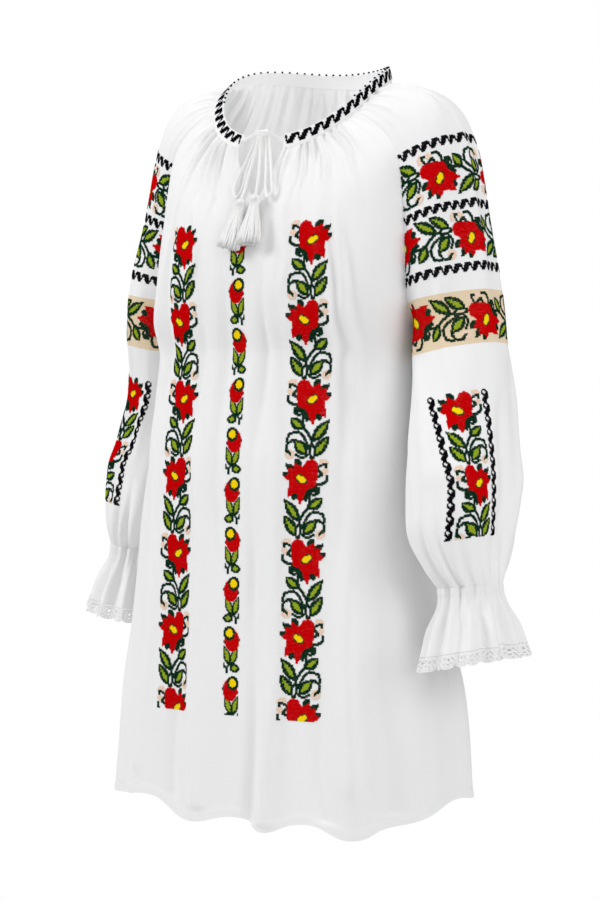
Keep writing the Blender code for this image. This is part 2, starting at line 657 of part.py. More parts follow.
def add_tassel(name, top, tip):
    """A round head; each face of its lower half is drawn out into a strand."""
    axis = Vector(tip) - Vector(top)
    bm = bmesh.new()
    bmesh.ops.create_uvsphere(bm, u_segments=10, v_segments=8, radius=1.0)
    below = -0.05
    roots = [face for face in bm.faces if face.calc_center_median().z < below]
    bmesh.ops.scale(bm, vec=TASSEL_HEAD, verts=bm.verts)
    bmesh.ops.inset_individual(bm, faces=roots, thickness=STRAND_GAP, depth=0.0)
    ends = bmesh.ops.extrude_discrete_faces(bm, faces=roots)["faces"]
    for face in ends:
        middle = face.calc_center_median()
        around = math.atan2(middle.y, middle.x)
        shorter = STRAND_UNEVEN * (0.5 + 0.5 * math.sin(5 * around + middle.z / STRAND_UNEVEN))
        length = axis.length - TASSEL_HEAD[2] - shorter
        target = Vector((middle.x / TASSEL_HEAD[0] * TASSEL_SKIRT[0],
                         middle.y / TASSEL_HEAD[1] * TASSEL_SKIRT[1], -length))
        for vert in face.verts:
            vert.co = target + (vert.co - middle) * STRAND_THINNING
    mesh = bpy.data.meshes.new(name)
    bm.to_mesh(mesh)
    bm.free()
    mesh.shade_smooth()
    tassel = place(name, mesh, WHITE_CORD)
    tassel.location = Vector(top) + axis.normalized() * TASSEL_HEAD[2]
    tassel.rotation_euler = Vector((0, 0, -1)).rotation_difference(axis).to_euler()


def add_tie():
    """Two cords from the ends of the neckband, tied in a bow, each with a tassel."""
    for side, word in ((1, "left"), (-1, "right")):
        angle = SLIT_ANGLE * side
        around = math.radians(angle)
        towards = np.array([-side * math.cos(around), -side * math.sin(around), 0.0])
        into = np.array([-math.sin(around), math.cos(around), 0.0]) * BAND_CLOTH / 2
        end = neckline(angle, BAND_HEIGHT * TIE_HEIGHT) + into
        beside = np.array([KNOT[0] + side * (KNOT_RADII[0] + SEAM), KNOT[1], KNOT[2]])
        outside = beside + np.array([TIE_LEAD * side, 0.001, 0.0])
        add_cord("tie_across_" + word, [end + towards * SEAM, end + towards * TIE_LEAD,
                                        outside, beside], WHITE_CORD)
    for word, out, back in (("left", BOW_LEFT_OUT, BOW_LEFT_BACK),
                            ("right", BOW_RIGHT_OUT, BOW_RIGHT_BACK)):
        start = under_knot(*BOW_STARTS[word][0])
        finish = under_knot(*BOW_STARTS[word][1])
        add_cord("bow_loop_" + word, [start, *(chest(*row) for row in out + back), finish],
                 WHITE_CORD)
    for word, rows, top, tip in TIE_ENDS:
        top, tip = chest(*top), chest(*tip)
        above = (top[0], top[1], top[2] + SEAM)
        start = under_knot(*END_STARTS[word])
        add_cord("tie_end_" + word, [start, *(chest(*row) for row in rows), above], WHITE_CORD)
        add_tassel("tassel_" + word, top, tip)


# ------------------------------------------------------------------ the garment
def build_cloth():
    """Every sewn piece: its grids, whether they are turned, its wall and its look."""
    def front_left(t):
        return slit_middle(t) + slit_edge(t)

    def front_right(t):
        return slit_middle(t) - slit_edge(t)

    pieces = [
        ("front_panel", [body_grid(-1, front_left, lambda t: 1.0, FRONT_GATHERS, 0.2),
                         body_grid(-1, lambda t: -1.0, front_right, FRONT_GATHERS, 1.3)],
         False, CLOTH, WHITE_GAUZE),
        ("back_panel", [body_grid(1, lambda t: 1.0, lambda t: -1.0, BACK_GATHERS, 2.1)],
         False, CLOTH, WHITE_GAUZE),
        ("neckband", [band_grid(2)], False, BAND_CLOTH, WHITE_BAND),
    ]
    for side, word in ((1, "left"), (-1, "right")):
        turned = side < 0
        pieces += [
            ("sleeve_" + word, [sleeve_grid(side)], turned, CLOTH, WHITE_GAUZE),
            ("wrist_casing_" + word, [cuff_grid(side, (0.0, CASING_END))], turned,
             BAND_CLOTH, WHITE_BAND),
            ("cuff_ruffle_" + word, [cuff_grid(side, RUFFLE_ROWS)], turned, CLOTH, WHITE_GAUZE),
            ("cuff_lace_" + word, [cuff_grid(side, (RUFFLE_END, 1.0), SCALLOP_DEPTH)], turned,
             LACE_CLOTH, WHITE_LACE),
        ]
    surfaces = [surface_from(grids, turned) for _, grids, turned, _, _ in pieces]
    normals = corner_normals(surfaces + [surface_from([band_grid(1)])])
    for (name, _, _, thickness, look), (points, faces), normal in zip(pieces, surfaces, normals):
        cloth_wall(name, points, faces, normal, thickness, look)


def main():
    for old in list(bpy.data.objects):
        bpy.data.objects.remove(old, do_unlink=True)
    bpy.context.scene.collection.children.link(bpy.data.collections.new(NAME))
    build_cloth()
    add_knot()
    add_tie()


main()
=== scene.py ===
# %% [markdown]
# A Romanian ie: a long, loose blouse of thin white cotton, gathered into a neckband, with raglan
# sleeves, cross-stitched flower bands and a corded tie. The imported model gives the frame: every
# piece below is made in metres on the form of its solid. The cloth could be drawn by a simulation,
# but its gathers are sewn in place, so it is worked out from the same short tables as the pattern.

# %% Load the frame
import math

import bmesh
import bpy
import numpy as np
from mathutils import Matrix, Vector


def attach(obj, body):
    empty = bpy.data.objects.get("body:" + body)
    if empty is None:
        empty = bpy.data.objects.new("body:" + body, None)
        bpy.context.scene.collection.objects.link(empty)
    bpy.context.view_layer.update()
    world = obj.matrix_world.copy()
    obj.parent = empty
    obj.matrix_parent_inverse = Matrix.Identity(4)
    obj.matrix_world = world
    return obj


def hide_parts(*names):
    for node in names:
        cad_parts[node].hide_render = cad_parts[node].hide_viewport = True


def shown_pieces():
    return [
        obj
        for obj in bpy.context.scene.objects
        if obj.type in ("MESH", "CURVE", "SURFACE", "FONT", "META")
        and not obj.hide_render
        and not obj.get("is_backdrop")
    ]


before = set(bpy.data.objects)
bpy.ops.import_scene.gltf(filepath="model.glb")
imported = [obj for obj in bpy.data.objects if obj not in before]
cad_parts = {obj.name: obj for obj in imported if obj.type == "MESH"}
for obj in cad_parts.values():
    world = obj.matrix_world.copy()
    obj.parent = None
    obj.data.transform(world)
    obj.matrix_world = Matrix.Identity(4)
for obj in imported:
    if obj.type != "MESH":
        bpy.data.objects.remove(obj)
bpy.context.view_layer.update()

# %% [markdown]
# The camera looks at the garment from its front left, a little below the middle, with a long lens
# so that the far sleeve is hardly smaller. Soft light from large lamps and a white world suit thin
# white cloth: a hard lamp would burn out the ridges and hide the folds. The floor is as far down
# as it would be under a standing wearer.

# %% Making objects, nodes and materials
scene = bpy.context.scene


def added(name, data):
    """A new object in the scene."""
    made = bpy.data.objects.new(name, data)
    scene.collection.objects.link(made)
    return made


def feed(tree, socket, value):
    """Give a socket a number, a colour or another node's output."""
    if isinstance(value, bpy.types.NodeSocket):
        tree.links.new(value, socket)
    else:
        socket.default_value = value


def node(tree, kind, inputs=None, **settings):
    """A new node; inputs are values or outputs, by the names or numbers of its sockets."""
    made = tree.nodes.new(kind)
    for key, value in settings.items():
        setattr(made, key, value)
    for key, value in (inputs or {}).items():
        feed(tree, made.inputs[key], value)
    return made


def result(tree, kind, inputs=None, **settings):
    """The first output of a new node."""
    return node(tree, kind, inputs, **settings).outputs[0]


def maths(tree, operation, *values):
    return result(tree, "ShaderNodeMath", dict(enumerate(values)), operation=operation)


def scaled(tree, vector, factor):
    return result(tree, "ShaderNodeVectorMath", {0: vector, "Scale": factor}, operation="SCALE")


def painted(name, colour, roughness, more=None):
    """A material; more holds the values of other sockets of its shader."""
    material = bpy.data.materials.new(name)
    material.use_nodes = True
    shader = material.node_tree.nodes["Principled BSDF"]
    for key, value in {"Base Color": (*colour, 1), "Roughness": roughness, **(more or {})}.items():
        shader.inputs[key].default_value = value
    return material


# %% Camera, floor and light
EYE = (1.606, -2.294, -0.36)
LOOK_AT = (0.0, 0.0, -0.4267)
LENS_MM, SENSOR_MM = 97.4, 36
FLOOR_Z, FLOOR_RADIUS = -1.38, 1.5
FLOOR_COLOUR, FLOOR_ROUGHNESS = (0.92, 0.92, 0.92), 0.9
LAMPS = (    # name, place, what it points at, side in metres, watts
    ("window", (-2.1, -1.9, 1.3), (0, 0, -0.40), 1.0, 46.0),
    ("fill", (2.6, -0.9, 0.3), (0, 0, -0.45), 1.6, 24.0),
    ("top", (0.3, -0.3, 2.2), (0, 0, -0.40), 1.0, 15.0),
    ("through_the_cloth", (0.0, -0.02, -0.21), (0, 0.03, 0.0), 0.10, 0.21),
)
SEEN_WHITE, LIT_WHITE = 1.0, 0.58    # the white room as the camera sees it, and as it lights


def aimed(name, data, place, target):
    """A camera or lamp at a place, its -Z turned to a target."""
    made = added(name, data)
    made.location = place
    way = Vector(target) - made.location
    made.rotation_euler = way.to_track_quat("-Z", "Y").to_euler()
    return made


optics = bpy.data.cameras.new("camera")
optics.lens = LENS_MM
optics.sensor_fit = "VERTICAL"
optics.sensor_height = SENSOR_MM
scene.camera = aimed("camera", optics, EYE, LOOK_AT)
for lamp_name, place, target, side, watts in LAMPS:
    lamp = bpy.data.lights.new(lamp_name, "AREA")
    lamp.size = side
    lamp.energy = watts
    aimed(lamp_name, lamp, place, target)

world = bpy.data.worlds.new("white_studio")
world.use_nodes = True
room = world.node_tree
backdrop = room.nodes["Background"]
backdrop.inputs["Color"].default_value = (1, 1, 1, 1)
seen = node(room, "ShaderNodeLightPath").outputs["Is Camera Ray"]
white = {"Value": seen, "To Min": LIT_WHITE, "To Max": SEEN_WHITE}
feed(room, backdrop.inputs["Strength"], result(room, "ShaderNodeMapRange", white))
scene.world = world
scene.view_settings.view_transform = "Standard"

bpy.ops.mesh.primitive_circle_add(vertices=96, radius=FLOOR_RADIUS, fill_type="NGON",
                                  location=(0, 0, FLOOR_Z))
floor = bpy.context.object
floor.name = "floor"
floor.data.materials.append(painted("pale_floor", FLOOR_COLOUR, FLOOR_ROUGHNESS))
floor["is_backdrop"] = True

# %% [markdown]
# The form. A blouse is cut from flat cloth but takes its shape from how it is gathered and worn,
# so its surface is described by sections: tables with a row for each level, read through a smooth
# curve. Meshes modelled by hand could do it too. Tables keep cloth and stitches on one surface.

# %% Small maths for the tables
def curve(table, at, column):
    """Smooth value of a table's column; the first column is the key."""
    rows = sorted(table)
    keys = np.array([row[0] for row in rows], float)
    values = np.array([row[column] for row in rows], float)
    slopes = np.empty_like(values)
    steps = np.diff(values) / np.diff(keys)
    slopes[0], slopes[-1] = steps[0], steps[-1]
    slopes[1:-1] = (steps[:-1] + steps[1:]) / 2
    at = np.clip(np.asarray(at, float), keys[0], keys[-1])
    i = np.clip(np.searchsorted(keys, at) - 1, 0, len(keys) - 2)
    span = keys[i + 1] - keys[i]
    t = (at - keys[i]) / span
    return ((2 * t**3 - 3 * t**2 + 1) * values[i] + (t**3 - 2 * t**2 + t) * span * slopes[i]
            + (3 * t**2 - 2 * t**3) * values[i + 1] + (t**3 - t**2) * span * slopes[i + 1])


def smooth(x):
    x = np.clip(x, 0.0, 1.0)
    return x * x * (3 - 2 * x)


def mix(a, b, t):
    return a + (b - a) * t


def unit(v):
    return v / np.maximum(np.linalg.norm(v, axis=-1, keepdims=True), 1e-12)


def spread(count, uneven=0.30):
    """count+1 places from 0 to 1, a little uneven as hand gathers are."""
    k = np.arange(count + 1, dtype=float)
    shift = uneven * np.sin(2.1 * k + 0.7) * np.sin(math.pi * k / count)
    return (k + shift) / count


def bell(off, half_width):
    return np.exp(-(off / half_width) ** 2)


def paired(a, b):
    return np.broadcast_arrays(np.asarray(a, float), np.asarray(b, float))


def rows_of(*stretches):
    """A column of rows from stretches with a start, an end and a count, joined at their ends."""
    parts = [np.linspace(*stretch) for stretch in stretches]
    return np.concatenate([part[:-1] for part in parts[:-1]] + parts[-1:])[:, None]


def outwards(angle):
    """Level direction away from the body, at degrees from centre front."""
    a = np.radians(angle)
    return np.stack([np.sin(a), -np.cos(a), 0 * a], -1)


def round_arm(q, side):
    """Level direction away from the middle of an arm, at a place round it."""
    a = math.pi * q
    return np.stack([side * np.cos(a), np.sin(a), 0 * a], -1)


def run_along(line):
    """Distance along a line of points to each of them."""
    return np.concatenate([[0], np.cumsum(np.linalg.norm(np.diff(line, axis=0), axis=-1))])


def at_runs(line, along, runs):
    """Points of a line at distances along it."""
    return np.stack([np.interp(runs, along, line[:, k]) for k in range(3)], -1)


def normal_of(surface, t, s, step=1e-3):
    down = surface(t + step, s) - surface(t - step, s)
    across = surface(t, s + step) - surface(t, s - step)
    return unit(np.cross(down, across))


# %% Sizes and tables of the form
NECK_HALF_WIDTH, NECK_HALF_DEPTH = 0.100, 0.084
NECK_X, NECK_Y = 0.004, 0.006
NECK_FRONT_Z, NECK_SIDE_Z, NECK_BACK_Z = -0.074, 0.000, 0.012
NECK_SAG, SHOULDER_TILT = 0.005, 0.040
BAND_HEIGHT, BAND_FLARE, BAND_TURN = 0.0175, 0.45, 0.30
BAND_CLOTH = 0.0018
RAGLAN_FRONT, RAGLAN_BACK = 62.0, 118.0
SLIT_ANGLE, SLIT_END, SLIT_LEAN = 16.0, 0.35, 0.05
UNDERARM_Z, SQUARENESS = -0.315, 2.25
SECTION_FOOT_Z = -0.83    # where the body's sections end; the hem itself rises and falls
NECK_BLEND = 0.40         # rows over which a sleeve leaves the neckline's shape
SEAM_PULL = 1.5           # how closely a panel's bulge keeps to its seams
FRONT_GATHERS, BACK_GATHERS, SLEEVE_GATHERS = 10, 14, 8
WRIST_GATHERS, RUFFLE_WAVES, SCALLOPS = 16, 12, 24

# body: height, half-width left, right, depth front, back, side seam y
BODY = (
    (-0.315, 0.166, 0.175, 0.128, 0.090, 0.012),
    (-0.370, 0.1665, 0.179, 0.125, 0.095, 0.003),
    (-0.430, 0.169, 0.184, 0.122, 0.098, -0.006),
    (-0.500, 0.173, 0.189, 0.116, 0.099, -0.013),
    (-0.575, 0.181, 0.193, 0.112, 0.098, -0.018),
    (-0.640, 0.198, 0.199, 0.110, 0.097, -0.021),
    (-0.700, 0.216, 0.208, 0.109, 0.097, -0.023),
    (-0.840, 0.227, 0.226, 0.110, 0.100, -0.023),
)
# hem: degrees from centre front, height
HEM = (
    (-180, -0.822), (-150, -0.827), (-120, -0.820), (-90, -0.827), (-70, -0.829),
    (-45, -0.824), (-27, -0.820), (-17, -0.838), (-9, -0.840), (0, -0.831),
    (4, -0.832), (9, -0.843), (18, -0.833), (25, -0.832), (35, -0.844),
    (42, -0.843), (49, -0.833), (62, -0.824), (75, -0.811), (90, -0.804),
    (120, -0.813), (150, -0.821), (180, -0.822),
)
# long folds: degrees at the hem, half-width in degrees, height, where it fades, lean
FOLDS = (
    (-160, 13, 0.008, -0.20, 3), (-131, 14, 0.009, -0.30, 4), (-101, 14, 0.007, -0.38, 0),
    (-68, 13, 0.007, -0.40, -3), (-35, 12, 0.008, -0.30, -4), (-9, 9, 0.008, -0.18, 2),
    (9, 8, 0.009, -0.20, 0), (35, 12, 0.010, -0.17, 0), (69, 13, 0.010, -0.36, 4),
    (104, 14, 0.008, -0.38, 0), (137, 14, 0.010, -0.28, 4), (168, 12, 0.008, -0.22, -2),
)
CENTRE_FRONT = (    # row, y, z
    (0.00, -0.0860, -0.0922), (0.25, -0.0985, -0.1280), (0.50, -0.1160, -0.1860),
    (0.75, -0.1220, -0.2500), (1.00, -0.1160, -0.3150),
)
CENTRE_BACK = (
    (0.00, 0.0981, -0.0022), (0.25, 0.1080, -0.0650), (0.50, 0.1120, -0.1450),
    (0.75, 0.1080, -0.2300), (1.00, 0.1020, -0.3150),
)
# sleeve: row, outer x and z, inner x and z, half-depth, half of its arc in degrees
SLEEVE = (
    (0.00, 0.118, -0.015, 0.102, -0.046, 0.045, 70),
    (0.15, 0.141, -0.015, 0.120, -0.055, 0.050, 78),
    (0.30, 0.171, -0.024, 0.142, -0.073, 0.054, 84),
    (0.45, 0.199, -0.046, 0.160, -0.100, 0.058, 90),
    (0.60, 0.215, -0.080, 0.168, -0.150, 0.061, 100),
    (0.75, 0.225, -0.130, 0.171, -0.205, 0.065, 112),
    (0.88, 0.236, -0.190, 0.170, -0.262, 0.067, 130),
    (1.00, 0.249, -0.250, 0.166, -0.315, 0.065, 180),
    (1.20, 0.268, -0.325, 0.171, -0.372, 0.068, 180),
    (1.40, 0.283, -0.395, 0.177, -0.425, 0.073, 180),
    (1.60, 0.293, -0.455, 0.184, -0.478, 0.075, 180),
    (1.75, 0.297, -0.502, 0.193, -0.519, 0.070, 180),
    (1.90, 0.297, -0.542, 0.214, -0.552, 0.052, 180),
    (2.00, 0.296, -0.563, 0.228, -0.571, 0.0345, 180),
)
# how each arm is held: row, added x, y, z and fullness on the left, then on the right
POSE = (
    (0.00, 0.000, 0.008, 0.000, 1.00, 0.000, 0.008, 0.009, 1.00),
    (0.30, 0.000, 0.012, 0.000, 1.00, -0.004, 0.016, 0.010, 1.00),
    (0.60, 0.000, 0.014, 0.000, 1.00, -0.007, 0.024, 0.006, 1.00),
    (0.80, 0.000, 0.014, 0.000, 1.00, -0.001, 0.024, 0.002, 0.94),
    (1.00, 0.000, 0.012, 0.000, 1.00, 0.009, 0.012, 0.000, 0.84),
    (1.20, 0.000, -0.002, 0.000, 1.00, 0.014, 0.036, 0.002, 0.80),
    (1.40, 0.000, -0.020, 0.000, 1.00, 0.015, 0.048, 0.006, 0.81),
    (1.60, 0.000, -0.034, 0.000, 1.00, 0.014, 0.048, 0.010, 0.83),
    (1.75, -0.002, -0.044, 0.000, 1.00, 0.010, 0.044, 0.014, 0.88),
    (1.90, -0.002, -0.052, 0.000, 1.00, 0.005, 0.041, 0.018, 0.97),
    (2.00, -0.001, -0.056, 0.000, 1.00, 0.007, 0.040, 0.019, 1.00),
)
# cuff: fraction down, outward run, drop outside and inside, growth in width and in depth
CUFF = (
    (0.00, 0.000, 0.000, 0.000, 0.000, 0.000),
    (0.13, 0.001, 0.010, 0.011, 0.000, 0.001),
    (0.40, 0.003, 0.031, 0.036, 0.005, 0.010),
    (0.70, 0.005, 0.054, 0.063, 0.011, 0.020),
    (1.00, 0.006, 0.078, 0.090, 0.017, 0.031),
)
CASING_END, RUFFLE_END = 0.13, 0.80


# %% The smooth surfaces
def neckline(angle, drop=0.0):
    """Point of the neck at an angle from centre front, a distance down the band."""
    a = np.radians(angle)
    ends = (NECK_FRONT_Z + NECK_BACK_Z) / 2
    z = ((ends + NECK_SIDE_Z) / 2 + (NECK_FRONT_Z - NECK_BACK_Z) / 2 * np.cos(a)
         + (ends - NECK_SIDE_Z) / 2 * np.cos(2 * a))
    z = z - NECK_SAG * np.sin(2 * a) ** 2 * (np.cos(a) > 0)
    flare = BAND_FLARE - BAND_TURN * np.sin(a)
    x = NECK_X + (NECK_HALF_WIDTH + flare * drop) * np.sin(a)
    y = NECK_Y - (NECK_HALF_DEPTH + flare * drop) * np.cos(a)
    return np.stack([x, y, z - SHOULDER_TILT * x - np.sqrt(1 - flare ** 2) * drop], -1)


def body_section(angle, z):
    """Rounded-square section of the body at a height."""
    a = np.radians(angle)
    sin, cos = np.sin(a), np.cos(a)
    half = np.where(sin >= 0, curve(BODY, z, 1), curve(BODY, z, 2))
    depth = np.where(cos >= 0, curve(BODY, z, 3), curve(BODY, z, 4))
    x = np.sign(sin) * half * np.abs(sin) ** (2 / SQUARENESS)
    y = curve(BODY, z, 5) - np.sign(cos) * depth * np.abs(cos) ** (2 / SQUARENESS)
    return np.stack([x, y, z + 0 * x], -1)


def arm_pose(t, side):
    first = 1 if side > 0 else 5
    return [curve(POSE, t, first + k) for k in range(4)]


def sleeve_ring(t, q, side):
    """Sleeve row t; q runs -1 front seam, 0 outside, 1 back seam. side 1 left, -1 right."""
    add_x, add_y, add_z, fullness = arm_pose(t, side)
    outer_x, outer_z, inner_x, inner_z = (curve(SLEEVE, t, k) for k in (1, 2, 3, 4))
    sweep = np.radians(np.minimum(curve(SLEEVE, t, 6), 180))
    reach = (1 - np.cos(sweep)) / fullness
    run_x, run_z = (outer_x - inner_x) / reach, (outer_z - inner_z) / reach
    out = np.cos(q * sweep) - np.cos(sweep)
    x = inner_x + run_x * out + add_x
    y = curve(SLEEVE, t, 5) * fullness * np.sin(q * sweep) + add_y
    z = inner_z + run_z * out + add_z
    return np.stack([side * x, y + 0 * x, z], -1)


def sleeve_surface(t, q, side):
    """Sleeve from the neckline over the shoulder to the wrist, without its folds."""
    t, q = paired(t, q)
    from_shoulder = q * (RAGLAN_BACK - 90)
    at_neck = neckline(90 + from_shoulder if side > 0 else 270 - from_shoulder, BAND_HEIGHT)
    left_over = 1 - np.clip(t / NECK_BLEND, 0, 1)
    share = (1 - left_over ** 2)[..., None]
    return mix(at_neck, sleeve_ring(t, q, side), share)


def upper_surface(t, s, face):
    """Front (face -1) or back (face 1) from the neckline to the underarms; s -1..1 across."""
    t, s = paired(t, s)
    angle = s * RAGLAN_FRONT if face < 0 else 180 - s * (180 - RAGLAN_BACK)
    round_body = s * 90 if face < 0 else 180 - s * 90
    top = neckline(angle, BAND_HEIGHT)
    bottom = body_section(round_body, np.full(t.shape, UNDERARM_Z))
    down = t[..., None]
    seam_q = -1.0 if face < 0 else 1.0

    def seam_of(rows):
        return np.where((s >= 0)[..., None], *(sleeve_surface(rows, seam_q, side) for side in (1, -1)))

    def centre_of(rows):
        table = CENTRE_FRONT if face < 0 else CENTRE_BACK
        return np.stack([0 * rows, curve(table, rows, 1), curve(table, rows, 2)], -1)

    def bulge(line_of):
        return line_of(t) - mix(line_of(0 * t), line_of(0 * t + 1), down)

    pull = (np.abs(s) ** SEAM_PULL)[..., None]
    return mix(top, bottom, down) + pull * bulge(seam_of) + (1 - pull) * bulge(centre_of)


def lower_surface(v, angle):
    """Body from the underarms (v 0) to the hem (v 1)."""
    v, angle = paired(v, angle)
    hem = curve(HEM, (angle + 180) % 360 - 180, 1)
    flat = body_section(angle, mix(UNDERARM_Z, SECTION_FOOT_Z, v))
    flat[..., 2] = mix(UNDERARM_Z, hem, v)
    return flat


def cuff_point(f, q, side):
    """Surface below the wrist: casing, ruffle and lace."""
    f, q = paired(f, q)
    add_x, add_y, add_z, _ = arm_pose(SLEEVE[-1][0], side)
    outer_x, outer_z, inner_x, inner_z, half_depth = SLEEVE[-1][1:6]
    middle = (outer_x + inner_x) / 2 + curve(CUFF, f, 1) + add_x
    half_width = (outer_x - inner_x) / 2 + curve(CUFF, f, 4)
    x = middle + half_width * np.cos(math.pi * q)
    y = add_y + (half_depth + curve(CUFF, f, 5)) * np.sin(math.pi * q)
    lean = (1 + np.cos(math.pi * q)) / 2
    drop = mix(curve(CUFF, f, 3), curve(CUFF, f, 2), lean)
    z = mix(inner_z, outer_z, lean) - drop + add_z
    return np.stack([side * x, y, z + 0 * x], -1)


# %% [markdown]
# Folds. The long drapes and the sewn gathers are heights off the smooth surface. On top of them
# come finer creases, laid one by one in the tables here, because real cotton never folds
# evenly: each has its own place, length, width and depth.

# %% Tables of creases, laid one by one
# front and back: x at the top, x at the bottom, z at the top and bottom, half-width, height
FRONT_CREASES = (
    (-0.128, -0.150, -0.20, -0.52, 0.009, 0.0022), (-0.112, -0.140, -0.30, -0.80, 0.011, 0.0024),
    (-0.060, -0.052, -0.16, -0.45, 0.007, -0.0016), (-0.052, -0.046, -0.34, -0.83, 0.009, 0.0026),
    (-0.036, -0.030, -0.15, -0.50, 0.010, 0.0016), (-0.022, -0.019, -0.19, -0.60, 0.008, -0.0018),
    (0.026, 0.022, -0.17, -0.56, 0.011, 0.0017), (0.030, 0.028, -0.24, -0.84, 0.008, -0.0026),
    (0.046, 0.052, -0.17, -0.52, 0.007, 0.0018), (0.062, 0.050, -0.40, -0.84, 0.009, 0.0024),
    (0.072, 0.082, -0.14, -0.30, 0.007, -0.0014), (0.096, 0.108, -0.15, -0.42, 0.009, 0.0020),
    (0.118, 0.128, -0.18, -0.60, 0.010, -0.0022), (0.126, 0.142, -0.24, -0.80, 0.010, 0.0026),
    (0.144, 0.168, -0.27, -0.50, 0.010, 0.0010), (0.150, 0.186, -0.38, -0.82, 0.012, -0.0016),
    (0.120, 0.136, -0.17, -0.70, 0.013, 0.0016), (-0.150, -0.120, -0.26, -0.36, 0.008, 0.0008),
    (0.024, 0.030, -0.50, -0.84, 0.009, -0.0016), (0.106, 0.118, -0.55, -0.83, 0.009, -0.0022),
    (-0.090, -0.084, -0.52, -0.82, 0.008, -0.0014), (-0.168, -0.196, -0.42, -0.82, 0.010, 0.0020),
    (0.104, 0.122, -0.12, -0.44, 0.006, -0.0016), (0.113, 0.134, -0.13, -0.40, 0.006, 0.0017),
    (0.123, 0.146, -0.15, -0.48, 0.006, -0.0018), (0.055, 0.060, -0.12, -0.27, 0.005, 0.0014),
    (0.040, 0.030, -0.12, -0.46, 0.007, -0.0013), (-0.105, -0.122, -0.13, -0.40, 0.006, -0.0016),
    (-0.118, -0.138, -0.15, -0.44, 0.006, 0.0016), (-0.070, -0.066, -0.13, -0.26, 0.005, 0.0014),
)
BACK_CREASES = (
    (-0.130, -0.152, -0.20, -0.60, 0.010, 0.0022), (-0.092, -0.110, -0.14, -0.82, 0.011, -0.0024),
    (-0.064, -0.074, -0.18, -0.54, 0.008, 0.0020), (-0.036, -0.030, -0.12, -0.82, 0.009, 0.0024),
    (-0.012, -0.016, -0.16, -0.46, 0.007, -0.0018), (0.014, 0.010, -0.24, -0.82, 0.009, 0.0022),
    (0.040, 0.046, -0.14, -0.58, 0.008, -0.0020), (0.066, 0.078, -0.20, -0.82, 0.010, 0.0024),
    (0.098, 0.112, -0.16, -0.50, 0.009, -0.0020), (0.128, 0.150, -0.24, -0.80, 0.010, 0.0022),
    (0.150, 0.126, -0.25, -0.37, 0.006, 0.0014), (-0.150, -0.124, -0.26, -0.37, 0.006, 0.0014),
)
# sleeve: q and row at the start, q and row at the end, half-width in q, height
SLEEVE_CREASES = (
    (-0.55, 0.70, -0.30, 1.30, 0.045, 0.0020), (-0.72, 0.86, -0.50, 1.62, 0.050, 0.0024),
    (-0.18, 0.34, -0.26, 0.92, 0.045, -0.0016), (-0.36, 1.16, -0.20, 1.86, 0.045, 0.0026),
    (-0.06, 0.40, -0.10, 1.12, 0.050, 0.0016), (-0.02, 1.24, 0.03, 1.88, 0.045, -0.0026),
    (0.16, 0.46, 0.10, 1.28, 0.050, 0.0018), (0.22, 1.10, 0.14, 1.90, 0.045, 0.0026),
    (0.46, 0.62, 0.32, 1.44, 0.050, -0.0018), (0.52, 1.02, 0.38, 1.84, 0.050, 0.0024),
    (0.74, 0.88, 0.58, 1.80, 0.050, 0.0020), (-0.86, 1.06, -0.66, 1.86, 0.045, -0.0022),
    (0.90, 1.05, 0.72, 1.70, 0.045, 0.0018), (-0.60, 1.50, -0.10, 1.62, 0.050, 0.0016),
    (0.10, 1.56, 0.48, 1.66, 0.050, 0.0014), (-0.44, 1.30, -0.12, 1.36, 0.050, -0.0012),
)
# fine pleats under the band: place across a panel, length in rows, depth in millimetres
PLEATS = (
    (0.05, 0.26, 1.0), (0.115, 0.50, 1.5), (0.19, 0.20, 0.9), (0.265, 0.62, 1.6),
    (0.34, 0.30, 1.1), (0.42, 0.48, 1.4), (0.495, 0.22, 0.9), (0.575, 0.66, 1.6),
    (0.655, 0.34, 1.2), (0.735, 0.52, 1.4), (0.805, 0.24, 1.0), (0.88, 0.46, 1.5),
    (0.95, 0.24, 1.1),
)


# %% Heights of drapes, gathers and creases
FOLD_FULL_Z, FOLD_SHARPNESS = -0.80, 1.4
CREASE_SHARE = 2.0        # all the creases together, deeper or shallower
ROW_LENGTH = 0.8          # how long a row of a sleeve is beside one step of q
LONG_FOLD, CROSS_FOLD = 0.0032, 0.0018
GATHER_DEPTH = 0.0034
PLEAT_SHARE = 1.5
WRIST_COARSE, WRIST_FINE = 0.0027, 0.0005


def drape(angle, z):
    """Height of the long folds at an angle round the body and a height."""
    total = np.zeros(np.broadcast(angle, z).shape)
    for at_hem, half_width, height, fade_z, lean in FOLDS:
        grow = smooth((fade_z - z) / (fade_z - FOLD_FULL_Z))
        centre = at_hem - np.sign(at_hem) * lean * (1 - grow)
        off = (angle - centre + 180) % 360 - 180
        total = total + height * grow * bell(off, half_width / FOLD_SHARPNESS)
    return total


def body_creases(points, table):
    """Fine creases of a body panel at its points."""
    x, z = points[..., 0], points[..., 2]
    total = np.zeros(x.shape)
    for top_x, low_x, top_z, low_z, half_width, height in table:
        along = (top_z - z) / (top_z - low_z)
        fade = smooth(along / 0.25) * smooth((1 - along) / (0.25 if low_z > -0.78 else 0.02))
        middle = mix(top_x, low_x, np.clip(along, 0, 1)) + 0.004 * np.sin(9 * along + 40 * top_x)
        total = total + height * fade * bell(x - middle, half_width)
    return total


